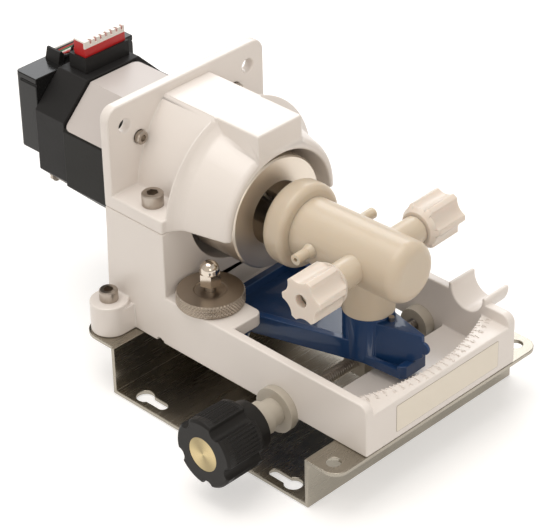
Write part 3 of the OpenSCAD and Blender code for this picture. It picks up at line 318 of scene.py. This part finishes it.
def coated(name, colour, rough=0.3, spread=0.05, depth=0.00002, scale=900.0, drift=0.03, **sockets):
    """Painted, moulded, cast or polished finish with a fine skin."""
    material, tree, shader = finish_material(name, **sockets)
    skin = place_group(tree, FINE_SKIN, Scale=scale, Depth=depth, Roughness=rough, Spread=spread)
    dress(tree, shader, drifting(tree, colour, scale=50.0, drift=drift), skin)
    return material


def brushed(name, colour, stretch, rough, spread, depth, drift):
    """Bare metal with long scratches."""
    material, tree, shader = finish_material(name, Metallic=1.0)
    grain = place_group(tree, BRUSHED_GRAIN, Stretch=stretch, Depth=depth, Roughness=rough, Spread=spread)
    dress(tree, shader, drifting(tree, colour, scale=40.0, drift=drift), grain)
    return material


def turned_metal(name, colour, centre, across, pitch, depth, rough, spread, painted_sheen=0.0):
    """Bare metal with rings left by the lathe, and with a painted sheen of brighter and darker sectors
    multiplied into its colour where that is asked for.
    """
    material, tree, shader = finish_material(name, Metallic=1.0)
    shade = drifting(tree, colour, scale=60.0, drift=0.05)
    if painted_sheen:
        # Painted sheen: the colour is made brighter and darker in sectors, standing in for streaks of light
        sectors = place_group(tree, PAINTED_SHEEN_FAN, Centre=centre, Contrast=painted_sheen)
        shade = lit(tree, shade, sectors.outputs["Level"])
    rings = place_group(
        tree, TURNING_MARKS,
        Centre=centre, Across=across, Pitch=pitch, Depth=depth, Roughness=rough, Spread=spread,
    )
    dress(tree, shader, shade, rings)
    return material


# Paint and enamel
white_coat = coated(
    "white_powder_coat", (0.80, 0.748, 0.705), rough=0.36, depth=0.000025, scale=420.0, drift=0.02,
    Coat_Weight=0.25, Coat_Roughness=0.2,
)
blue_enamel = coated(
    "blue_enamel", (0.010, 0.043, 0.132), rough=0.3, depth=0.00004, scale=350.0, drift=0.12,
    Specular_IOR_Level=0.25, Coat_Weight=0.5, Coat_Roughness=0.04,
)

# Metals
channel_steel = brushed(
    "channel_steel", (0.385, 0.355, 0.30), (60.0, 900.0, 900.0),
    rough=0.26, spread=0.09, depth=0.000006, drift=0.2,
)
screw_steel = coated(
    "screw_steel", (0.42, 0.37, 0.32), rough=0.3, spread=0.08, depth=0.000006, Metallic=1.0
)
dark_steel = coated(
    "dark_steel", (0.40, 0.36, 0.32), rough=0.3, spread=0.08, depth=0.000006, Metallic=1.0
)
bright_nickel = coated(
    "bright_nickel", (0.66, 0.59, 0.51), rough=0.12, spread=0.04, depth=0.000004, Metallic=1.0
)
ground_steel = coated(
    "ground_steel", (0.62, 0.60, 0.57), rough=0.2, spread=0.05, depth=0.000004, Metallic=1.0
)
driver_steel = turned_metal(
    "driver_steel", (0.82, 0.75, 0.66), DRIVE_AT, (1.0, 0.0, 1.0),
    pitch=3500.0, depth=0.000006, rough=0.4, spread=0.06,
)
knurled_steel = turned_metal(
    "knurled_steel", (0.42, 0.36, 0.30), STUD_AT, (1.0, 1.0, 0.0),
    pitch=3000.0, depth=0.000008, rough=0.32, spread=0.08,
)
# The knob cap's colour carries a painted sheen of bright and dark sectors
spun_brass = turned_metal(
    "spun_brass", (0.50, 0.405, 0.22), SCREW_AT, (0.0, 1.0, 1.0),
    pitch=5000.0, depth=0.00005, rough=0.3, spread=0.1, painted_sheen=0.3,
)
gold_plate = coated("gold_plate", (0.83, 0.62, 0.24), rough=0.2, depth=0.000003, Metallic=1.0)
lamination = coated("lamination_steel", (0.4, 0.4, 0.41), rough=0.45, Metallic=1.0)

# Black mouldings and castings
knob_black = coated(
    "knob_black", (0.016, 0.015, 0.014), rough=0.42, spread=0.06, depth=0.00002, scale=1500.0, drift=0.1,
    Specular_IOR_Level=0.2,
)
motor_black = coated(
    "motor_black", (0.014, 0.0135, 0.012), rough=0.45, spread=0.06, depth=0.00003, scale=1100.0, drift=0.12,
    Specular_IOR_Level=0.16,
)
cap_black = coated(
    "cap_black", (0.017, 0.0165, 0.0165), rough=0.5, spread=0.06, depth=0.00004, scale=900.0, drift=0.12,
    Specular_IOR_Level=0.2,
)
cover_black = coated(
    "cover_black", (0.012, 0.012, 0.012), rough=0.2, spread=0.04, depth=0.00002, scale=1300.0, drift=0.1,
    Specular_IOR_Level=0.3,
)
seal_rubber = coated("seal_rubber", (0.03, 0.03, 0.03), rough=0.6)

# Plastics, ceramic and labels
head_polymer = coated(
    "head_polymer", (0.61, 0.52, 0.405), rough=0.3, spread=0.06, depth=0.00002, scale=260.0,
    Subsurface_Weight=0.35, Subsurface_Radius=(0.004, 0.003, 0.002), Subsurface_Scale=1.0,
)
nut_polymer = coated(
    "nut_polymer", (0.74, 0.655, 0.575), rough=0.3, spread=0.06, depth=0.00002, scale=300.0,
    Subsurface_Weight=0.35, Subsurface_Radius=(0.004, 0.003, 0.0025), Subsurface_Scale=1.0,
)
nylon = coated(
    "nylon", (0.48, 0.435, 0.365), rough=0.36, depth=0.00001,
    Subsurface_Weight=0.3, Subsurface_Radius=(0.003, 0.003, 0.003), Subsurface_Scale=1.0,
)
ceramic = coated("ceramic", (0.84, 0.81, 0.74), rough=0.12, depth=0.000002)
plug_red = coated("plug_red", (0.52, 0.014, 0.014), rough=0.3, depth=0.00001, scale=1500.0)
cover_white = coated("cover_white", (0.86, 0.82, 0.77), rough=0.3, depth=0.00001, scale=1500.0)
label_vinyl = coated("label_vinyl", (0.56, 0.515, 0.49), rough=0.38, depth=0.00001, scale=700.0, drift=0.015)
label_cream = coated("label_cream", (0.83, 0.765, 0.655), rough=0.3, depth=0.00001, scale=700.0, drift=0.015)
label_edge = coated("label_edge", (0.42, 0.37, 0.31), rough=0.4, depth=0.00001, scale=700.0)

LEAD_COLOURS = {
    "black": (0.02, 0.02, 0.02),
    "red": (0.42, 0.02, 0.02),
    "white": (0.72, 0.70, 0.66),
    "green": (0.03, 0.16, 0.06),
}
lead_finishes = [
    coated(f"lead_{label}", colour, rough=0.38, depth=0.000004, scale=1200.0)
    for label, colour in LEAD_COLOURS.items()
]

NODE_FINISH = {
    white_coat: ["base_frame", "shroud"],
    blue_enamel: ["swing_carrier"],
    channel_steel: ["base_channel"],
    screw_steel: [
        "frame_screws", "frame_nuts", "shroud_screws", "motor_screws", "motor_nuts", "end_cap_screws",
        "pivot_screw", "index_pin",
    ],
    dark_steel: [
        "lead_screw", "screw_clip", "lock_stud", "stem_set_screw", "knob_set_screw", "driver_set_screw",
    ],
    ground_steel: [
        "motor_shaft", "motor_bearings", "bearing_race", "drive_ball", "drive_pin", "piston_cap",
    ],
    nylon: ["left_bushing", "right_bushing", "thrust_collar", "traveller_nut"],
    knurled_steel: ["lock_disc"],
    bright_nickel: ["acorn_nut"],
    knob_black: ["adjust_knob"],
    spun_brass: ["knob_cap"],
    motor_black: ["motor_body"],
    cap_black: ["motor_end_cap", "connector_block", "cable_clip"],
    cover_black: ["motor_rear_cover"],
    lamination: ["motor_stator", "motor_rotor"],
    driver_steel: ["driver"],
    ceramic: ["piston", "head_liner"],
    head_polymer: ["head_body", "head_collar", "wash_tubes", "port_ferrules"],
    nut_polymer: ["left_port_nut", "right_port_nut"],
    seal_rubber: ["lip_seal"],
    gold_plate: ["header_pins"],
    plug_red: ["plug_housing"],
    cover_white: ["plug_cover"],
    lead_finishes[0]: ["lead_wires"],
}
for material, names in NODE_FINISH.items():
    for name in names:
        mesh = frame["nodes"][name].data
        mesh.materials.clear()
        mesh.materials.append(material)


# Making of pieces


def body_of(node):
    """The body of the frame that a CAD node rides on."""
    for body, members in frame["record"]["behaviour"]["bodies"].items():
        if node in members:
            return body
    raise ValueError(node)


def piece(name, bm, material, body, smooth):
    """Turns a bmesh into an object of the scene that rides on a body."""
    mesh = bpy.data.meshes.new(name)
    bm.to_mesh(mesh)
    bm.free()
    mesh.materials.append(material)
    obj = bpy.data.objects.new(name, mesh)
    scene.collection.objects.link(obj)
    mesh.shade_smooth()
    mesh.set_sharp_from_angle(angle=radians(smooth))
    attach(obj, body)
    return obj


def merged_copy(node):
    """A CAD node's mesh with its loose triangles joined."""
    bm = bmesh.new()
    bm.from_mesh(frame["nodes"][node].data)
    bmesh.ops.remove_doubles(bm, verts=bm.verts, dist=MERGE)
    return bm


def skin_of(bm):
    """A search tree over a bmesh's surface."""
    plain = bm.copy()
    bmesh.ops.triangulate(plain, faces=plain.faces[:])
    skin = BVHTree.FromBMesh(plain)
    plain.free()
    return skin


def pull_back(bm, skin, reach):
    """Puts points that lie further outside the skin than the reach back on it."""
    for vert in bm.verts:
        spot, normal, _, gap = skin.find_nearest(vert.co)
        if gap > reach and (vert.co - spot).dot(normal) > 0:
            vert.co = spot


def eased(node, name, width, material, angle=32.0, segments=2, pick=None, split=(), spare=()):
    """A copy of a CAD node with its sharp edges rounded, shown in its place.

    Split planes, each a unit normal and a distance in mm, cut long faces first. Edges that end at a spare
    point, or that the pick leaves out, stay sharp.
    """
    flat_angle, spare_reach, overshoot = 0.6, 1.3, 0.31
    bm = merged_copy(node)
    bmesh.ops.dissolve_limit(bm, angle_limit=radians(flat_angle), verts=bm.verts, edges=bm.edges)
    skin = skin_of(bm)
    for normal, along in split:
        geom = bm.verts[:] + bm.edges[:] + bm.faces[:]
        bmesh.ops.bisect_plane(bm, geom=geom, plane_co=Vector(normal) * along * MM, plane_no=normal)
    spots = [Vector(spot) * MM for spot in spare]
    sharp = [
        edge for edge in bm.edges
        if len(edge.link_faces) == 2 and edge.calc_face_angle(0.0) > radians(angle)
        and not any((vert.co - spot).length < spare_reach * MM for vert in edge.verts for spot in spots)
        and (pick is None or pick(edge))
    ]
    bmesh.ops.bevel(
        bm, geom=sharp, offset=width * MM, offset_type="OFFSET", segments=segments, profile=0.5,
        affect="EDGES", clamp_overlap=False, material=-1, loop_slide=False,
    )
    # Where edges meet at a shallow angle the rounding can shoot past the skin
    pull_back(bm, skin, overshoot * width * MM)
    bmesh.ops.dissolve_degenerate(bm, dist=MERGE, edges=bm.edges)
    obj = piece(name, bm, material, body_of(node), smooth=50.0)
    weigh = obj.modifiers.new("even_normals", "WEIGHTED_NORMAL")
    weigh.keep_sharp = True
    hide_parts(node)


def half_section(bm, section):
    """A line of joined points from pairs of a place along Z and a radius, in mm."""
    points = [bm.verts.new((radius * MM, 0.0, along * MM)) for along, radius in section]
    for first, second in zip(points, points[1:]):
        bm.edges.new((first, second))


def lathe(section, steps):
    """Spins a half section round Z into a closed turned solid."""
    bm = bmesh.new()
    half_section(bm, section)
    bmesh.ops.spin(
        bm, geom=bm.verts[:] + bm.edges[:], cent=(0, 0, 0), axis=(0, 0, 1), dvec=(0, 0, 0),
        angle=tau, steps=steps, use_merge=True, use_duplicate=False,
    )
    bmesh.ops.remove_doubles(bm, verts=bm.verts, dist=FINE_MERGE)
    bmesh.ops.recalc_face_normals(bm, faces=bm.faces)
    return bm


# Castings and mouldings with rounded edges

# Where the sides of the shroud's pad run out into the hood, as (y, z)
PAD_ENDS = ((59.5, 102), (34.9, 102), (13.9, 91.2), (14.8, 92.1))
PAD_FRONT_Y = 33.0
PAD_SIDE_Z = 101.0
# Planes that part the hood's long faces beside the pad's front edges
HOOD_SPLITS = (((0, 1, 0), 33.4), ((0, -0.799, 0.601), 45.3))
# A crowded corner on top of the carrier's nose
NOSE_CORNER = (2.1, -35.7, 43.4)
WALL_SIDE_X = 38
NOTCH_Y = (37, 41)
NOTCH_TOP = 22
COLLAR_MIDDLE = 20


def off_the_web(edge):
    """Leaves out the low webs that tie the ear bosses to the walls, and the notches in the walls' feet."""
    ends = [vert.co / MM for vert in edge.verts]
    web = all(abs(at.x) > WALL_SIDE_X and abs(at.z - EAR_WEB_Z) < 0.3 for at in ends)
    notch = all(NOTCH_Y[0] < at.y < NOTCH_Y[1] and at.z < NOTCH_TOP for at in ends)
    return not web and not notch


def off_the_pad_sides(edge):
    """Leaves out the low steps between the pad and the barrel."""
    ends = [vert.co / MM for vert in edge.verts]
    return not all(
        at.y > PAD_FRONT_Y and at.z > PAD_SIDE_Z and abs(abs(at.x) - PAD_HALF) < 0.2 for at in ends
    )


def outer_corner(edge):
    """Takes only edges that stick out and aren't tiny."""
    return edge.calc_face_angle_signed(0.0) > 0 and edge.calc_length() > 0.3 * MM


def collar_shoulder(edge):
    """Takes the collar's outer edge on the side of the head."""
    turn = radians(SWING_REST)
    head_axis = Vector((sin(turn), -cos(turn), 0))
    for vert in edge.verts:
        away = (vert.co - Vector(DRIVE_AT)) / MM
        along = away.dot(head_axis)
        reach = (away.length_squared - along**2) ** 0.5
        if along <= COLLAR_MIDDLE or abs(reach - COLLAR_R) >= 0.15:
            return False
    return True


eased("base_frame", "base_casting", 0.6, white_coat, pick=off_the_web)
eased(
    "shroud", "shroud_casting", 0.7, white_coat, angle=24, pick=off_the_pad_sides, split=HOOD_SPLITS,
    spare=[(PAD_HALF * side, y, z) for side in (-1, 1) for y, z in PAD_ENDS],
)
eased("swing_carrier", "carrier_casting", 0.4, blue_enamel, angle=24, pick=outer_corner, spare=[NOSE_CORNER])
eased("base_channel", "channel_sheet", 0.25, channel_steel)
eased("motor_body", "motor_housing", 0.3, motor_black)
eased("motor_end_cap", "motor_end_casting", 0.35, cap_black)
eased("motor_rear_cover", "motor_rear_hood", 0.4, cover_black)
eased("adjust_knob", "scalloped_knob", 0.2, knob_black)
eased("left_port_nut", "left_tube_nut", 0.25, nut_polymer, pick=outer_corner)
eased("right_port_nut", "right_tube_nut", 0.25, nut_polymer, pick=outer_corner)
eased("head_collar", "head_collar_round", 2.4, head_polymer, segments=5, pick=collar_shoulder)


# Leads

# The insulation of each lead from left to right, as places in the list of lead finishes
LEAD_ORDER = (0, 1, 2, 3, 1, 0, 2)


def separate_shells(bm):
    """A bmesh's faces in groups that hang together."""
    left = set(bm.faces)
    shells = []
    while left:
        shell, waiting = [], [left.pop()]
        while waiting:
            face = waiting.pop()
            shell.append(face)
            for near in {near for edge in face.edges for near in edge.link_faces if near in left}:
                left.remove(near)
                waiting.append(near)
        shells.append(shell)
    return shells


def coloured_leads():
    """A copy of the leads with an insulation colour for each."""
    bm = merged_copy("lead_wires")
    shells = separate_shells(bm)
    shells.sort(key=lambda shell: max(vert.co.x for face in shell for vert in face.verts))
    for shell, finish in zip(shells, LEAD_ORDER):
        for face in shell:
            face.material_index = finish
    leads = piece("coloured_leads", bm, lead_finishes[0], "base", smooth=50.0)
    for finish in lead_finishes[1:]:
        leads.data.materials.append(finish)
    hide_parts("lead_wires")


coloured_leads()


# Lead screw


def onto_screw_axis(bm):
    """Lays a bmesh made along Z on the lead screw's axis."""
    bmesh.ops.rotate(bm, verts=bm.verts, cent=(0, 0, 0), matrix=Matrix.Rotation(pi / 2, 3, "Y"))
    bmesh.ops.translate(bm, verts=bm.verts, vec=SCREW_AT)


def threaded_lead_screw():
    """Lead screw with its helical thread between the bushings."""
    pitch, crest, root = 1.058, 2.415, 1.85
    reach, steps, relief, chamfer = 34.0, 24, 0.6, 0.5
    turns = int(2 * reach / pitch)
    bm = bmesh.new()
    half_section(
        bm, [(0.0, root), (0.34 * pitch, crest), (0.5 * pitch, crest), (0.84 * pitch, root), (pitch, root)]
    )
    bmesh.ops.spin(
        bm, geom=bm.verts[:] + bm.edges[:], cent=(0, 0, 0), axis=(0, 0, 1), dvec=(0, 0, pitch * MM / steps),
        angle=tau * turns, steps=steps * turns, use_merge=False, use_duplicate=False,
    )
    bmesh.ops.remove_doubles(bm, verts=bm.verts, dist=FINE_MERGE)
    bmesh.ops.recalc_face_normals(bm, faces=bm.faces)
    bmesh.ops.translate(bm, verts=bm.verts, vec=(0, 0, -reach * MM))
    onto_screw_axis(bm)
    piece("lead_screw_thread", bm, dark_steel, "adjuster", smooth=30.0)
    low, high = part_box("lead_screw")
    left, right = low.x / MM, high.x / MM
    section = [
        (left, 0.0), (left, crest), (relief - reach, crest), (2 * relief - reach, root),
        (reach - 2 * relief, root), (reach - relief, crest),
        (right - chamfer, crest), (right, crest - chamfer), (right, 0.0),
    ]
    core = lathe(section, 48)
    onto_screw_axis(core)
    shaft = piece("lead_screw_core", core, dark_steel, "adjuster", smooth=30.0)
    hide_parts("lead_screw")


threaded_lead_screw()


# Lock disc


def knurled_disc():
    """Lock disc with a diamond knurl round its edge."""
    low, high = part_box("lock_disc")
    bottom, top, outer = low.z / MM, high.z / MM, (high.x - low.x) / 2 / MM
    rows, teeth, steps_a_tooth, depth = 14, 60, 6, 0.5
    slant, flank = 1.5, 1.15
    margin, corner, bore = 0.55, 0.6, 1.92
    dish_r, dish_floor_r, dish_depth = 6.0, 5.6, 0.25
    side = [(bottom + margin + (top - bottom - 2 * margin) * i / rows, outer) for i in range(rows + 1)]
    section = [(bottom, bore), (bottom, outer - corner)] + side + [
        (top, outer - corner), (top, dish_r), (top - dish_depth, dish_floor_r), (top - dish_depth, bore),
    ]
    bm = lathe(section, teeth * steps_a_tooth)
    for vert in bm.verts:
        reach = hypot(vert.co.x, vert.co.y) / MM
        if reach < outer - 0.05:
            continue
        turn = atan2(vert.co.y, vert.co.x) / tau * teeth
        rise = (vert.co.z / MM - bottom) / slant
        # Each wave is 0 in the middle of a groove of one hand and 1 on the ridges beside it
        waves = [abs(((turn + hand * rise) % 1.0) - 0.5) * 2.0 for hand in (-1, 1)]
        cut = depth * (1.0 - min(waves) * flank)
        shrink = (reach - max(cut, 0.0)) / reach
        vert.co.x *= shrink
        vert.co.y *= shrink
    bmesh.ops.translate(bm, verts=bm.verts, vec=STUD_AT)
    disc = piece("knurled_disc", bm, knurled_steel, "lock_disc", smooth=28.0)
    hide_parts("lock_disc")


knurled_disc()


# Labels

# Each label's corners as (u0, v0, u1, v1), in mm
FRONT_LABEL = (-23.2, 22.6, 29.0, 33.1)
FRONT_LABEL_EDGE = (-23.35, 22.45, 29.15, 33.25)
MOTOR_LABEL = (-31.2, 70.5, 11.0, 98.8)
# The glue under a label
FRONT_GLUE = 0.02
MOTOR_GLUE = 0.03


def rounded_outline(corners, radius, steps=6):
    """A rectangle with rounded corners."""
    u0, v0, u1, v1 = corners
    centres = (
        (u1 - radius, v1 - radius),
        (u0 + radius, v1 - radius),
        (u0 + radius, v0 + radius),
        (u1 - radius, v0 + radius),
    )
    points = []
    for quarter, (centre_u, centre_v) in enumerate(centres):
        for i in range(steps + 1):
            turn = radians(90 * quarter + 90 * i / steps)
            points.append((centre_u + radius * cos(turn), centre_v + radius * sin(turn)))
    return points


def on_front_wall(u, v, height):
    """Front label: u runs along X and v up the casting's front."""
    return (u, FRONT_Y - FRONT_GLUE - height, v)


def round_the_motor(u, v, height):
    """Motor label: u runs from the top flat over the crease and down the left chamfer, and v along Y."""
    height += MOTOR_GLUE
    slack = 1e-6
    if u >= MOTOR_CREASE - slack:
        return (u, v, MOTOR_TOP + height)
    down = (MOTOR_CREASE - u) / 2**0.5
    lift = height / 2**0.5
    return (MOTOR_CREASE - down - lift, v, MOTOR_TOP - down + lift)


def label_plate(name, outline, thickness, material, place, creases=()):
    """A thin plate on the base: place maps (u, v, height) to a point, and each crease lets it bend."""
    bm = bmesh.new()
    face = bm.faces.new([bm.verts.new((u * MM, v * MM, 0.0)) for u, v in outline])
    bmesh.ops.triangulate(bm, faces=[face])
    for crease in creases:
        geom = bm.verts[:] + bm.edges[:] + bm.faces[:]
        bmesh.ops.bisect_plane(bm, geom=geom, plane_co=(crease * MM, 0, 0), plane_no=(1, 0, 0))
    raised = bmesh.ops.extrude_face_region(bm, geom=bm.faces[:])
    top = [item for item in raised["geom"] if isinstance(item, bmesh.types.BMVert)]
    bmesh.ops.translate(bm, verts=top, vec=(0, 0, thickness * MM))
    for vert in bm.verts:
        vert.co = Vector(place(vert.co.x / MM, vert.co.y / MM, vert.co.z / MM)) * MM
    bmesh.ops.recalc_face_normals(bm, faces=bm.faces)
    piece(name, bm, material, "base", smooth=30.0)


label_plate("front_label_edge", rounded_outline(FRONT_LABEL_EDGE, 0.6), 0.05, label_edge, on_front_wall)
label_plate("front_label", rounded_outline(FRONT_LABEL, 0.5), 0.1, label_cream, on_front_wall)
label_plate(
    "motor_label", rounded_outline(MOTOR_LABEL, 2.6), 0.1, label_vinyl, round_the_motor,
    creases=(MOTOR_CREASE,),
)


# Stroke scale


def join_into(target, other):
    """Moves a bmesh's faces into another bmesh."""
    mesh = bpy.data.meshes.new("part")
    other.to_mesh(mesh)
    other.free()
    target.from_mesh(mesh)
    bpy.data.meshes.remove(mesh)


def raised_figures(text, size, height):
    """Plain figures as a solid, centred on the origin and standing on z = 0, in mm."""
    curve = bpy.data.curves.new("figures", "FONT")
    curve.body = text
    curve.size = size * MM
    curve.extrude = height / 2 * MM
    curve.resolution_u = 3
    curve.space_character = 1.1
    curve.align_x = "CENTER"
    holder = bpy.data.objects.new("figures", curve)
    mesh = bpy.data.meshes.new_from_object(holder)
    bm = bmesh.new()
    bm.from_mesh(mesh)
    bpy.data.objects.remove(holder)
    bpy.data.meshes.remove(mesh)
    bmesh.ops.remove_doubles(bm, verts=bm.verts, dist=FINE_MERGE)
    bmesh.ops.translate(bm, verts=bm.verts, vec=(0, 0, height / 2 * MM))
    return bm


def scale_marks():
    """Raised lines and figures of the stroke scale on the front shelf: 10 to 0 to 10 in half steps."""
    top_figure, step, sink, rise = 10, 2.3, 0.05, 0.35
    near, figure_at, figure_size = 0.25, 4.15, 2.9
    # Reach beyond the scale's inner radius, and width, of a full and of a half step's line
    full_line, half_line = (1.75, 0.4), (1.15, 0.3)
    tall = rise + sink
    bm = bmesh.new()
    for half in range(-2 * top_figure, 2 * top_figure + 1):
        full = half % 2 == 0
        far, wide = full_line if full else half_line
        mark = bmesh.new()
        block = bmesh.ops.create_cube(mark, size=1.0)["verts"]
        bmesh.ops.scale(mark, vec=(wide * MM, (far - near) * MM, tall * MM), verts=block)
        bmesh.ops.translate(mark, vec=(0, -(SCALE_R + (near + far) / 2) * MM, tall / 2 * MM), verts=block)
        if full:
            figures = raised_figures(str(abs(half) // 2), figure_size, tall)
            bmesh.ops.translate(figures, verts=figures.verts, vec=(0, -(SCALE_R + figure_at) * MM, 0))
            join_into(mark, figures)
        turn = Matrix.Rotation(radians(half * step / 2), 3, "Z")
        bmesh.ops.rotate(mark, cent=(0, 0, 0), matrix=turn, verts=mark.verts)
        bmesh.ops.translate(mark, vec=(0, PIVOT_Y * MM, (SHELF_Z - sink) * MM), verts=mark.verts)
        join_into(bm, mark)
    piece("scale_figures", bm, white_coat, "base", smooth=30.0)


scale_marks()


# Stage, light and camera

PUMP_MIDDLE = (0, 0, 0.05)


def stage_floor():
    """A pale floor that keeps the pump's shadow and shows near white to the camera and to bare metal."""
    drop, glow = 0.0002, 0.42
    bm = bmesh.new()
    bmesh.ops.create_grid(bm, x_segments=1, y_segments=1, size=3.0)
    mesh = bpy.data.meshes.new("floor")
    bm.to_mesh(mesh)
    bm.free()
    floor_obj = bpy.data.objects.new("floor", mesh)
    floor_obj.location = (0, 0, -drop)
    scene.collection.objects.link(floor_obj)
    material = bpy.data.materials.new("pale_floor")
    material.use_nodes = True
    tree = material.node_tree
    tree.nodes.clear()
    out = add(tree, "ShaderNodeOutputMaterial")
    matt = add(tree, "ShaderNodeBsdfDiffuse", Color=(0.72, 0.71, 0.70, 1))
    shine = add(tree, "ShaderNodeEmission")
    paths = add(tree, "ShaderNodeLightPath")
    seen = math_node(tree, "MAXIMUM", paths.outputs["Is Camera Ray"], paths.outputs["Is Glossy Ray"])
    seen = math_node(tree, "MAXIMUM", seen, paths.outputs["Is Transmission Ray"])
    tree.links.new(math_node(tree, "MULTIPLY", seen, glow), shine.inputs["Strength"])
    both = add(tree, "ShaderNodeAddShader")
    tree.links.new(matt.outputs[0], both.inputs[0])
    tree.links.new(shine.outputs[0], both.inputs[1])
    tree.links.new(both.outputs[0], out.inputs["Surface"])
    mesh.materials.append(material)


def soft_world():
    """An even, slightly warm light that the camera sees as plain white."""
    world = bpy.data.worlds.new("soft_world")
    scene.world = world
    world.use_nodes = True
    tree = world.node_tree
    light = tree.nodes["Background"]
    light.inputs["Color"].default_value = (1.0, 0.95, 0.89, 1)
    light.inputs["Strength"].default_value = 0.62
    backdrop = add(tree, "ShaderNodeBackground", Color=(1.0, 1.0, 1.0, 1), Strength=1.0)
    paths = add(tree, "ShaderNodeLightPath")
    seen = math_node(tree, "MAXIMUM", paths.outputs["Is Camera Ray"], paths.outputs["Is Transmission Ray"])
    choice = add(tree, "ShaderNodeMixShader")
    tree.links.new(seen, choice.inputs[0])
    tree.links.new(light.outputs[0], choice.inputs[1])
    tree.links.new(backdrop.outputs[0], choice.inputs[2])
    tree.links.new(choice.outputs[0], tree.nodes["World Output"].inputs["Surface"])


def soft_lamp(name, at, size, power, colour):
    """A rectangular lamp that looks at the pump's middle."""
    data = bpy.data.lights.new(name, "AREA")
    data.shape = "RECTANGLE"
    data.size, data.size_y = size
    data.energy = power
    data.color = colour
    lamp = bpy.data.objects.new(name, data)
    lamp.location = at
    aim = Vector(PUMP_MIDDLE) - Vector(at)
    lamp.rotation_euler = aim.to_track_quat("-Z", "Y").to_euler()
    scene.collection.objects.link(lamp)


def photo_camera():
    """The camera of the photograph, solved from the motor's bolt square."""
    data = bpy.data.cameras.new("camera")
    data.lens = 158.507
    data.sensor_width = 36.0
    data.sensor_fit = "HORIZONTAL"
    data.clip_start = 0.05
    data.clip_end = 20.0
    camera = bpy.data.objects.new("camera", data)
    camera.location = (-0.509902, -0.497109, 0.510856)
    camera.rotation_euler = (radians(57.13632), radians(1.11367), radians(-45.44234))
    scene.collection.objects.link(camera)
    scene.camera = camera


stage_floor()
soft_world()
soft_lamp("overhead", (-0.1, 0.2, 1.3), (1.1, 1.0), 9.2, (1.0, 0.985, 0.97))
# Stands where the level faces mirror it to the camera
soft_lamp("back_window", (0.87, 0.85, 0.82), (0.8, 0.6), 4.2, (0.93, 0.96, 1.0))
soft_lamp("left_window", (-1.1, -0.1, 0.6), (1.2, 1.1), 0.6, (1.0, 0.83, 0.60))
soft_lamp("camera_side", (-0.7, -0.95, 0.62), (0.5, 0.5), 1.3, (1.0, 0.93, 0.84))
soft_lamp("front_fill", (0.3, -1.2, 0.5), (0.9, 0.6), 0.5, (1.0, 0.88, 0.72))
photo_camera()
scene.view_settings.view_transform = "Standard"
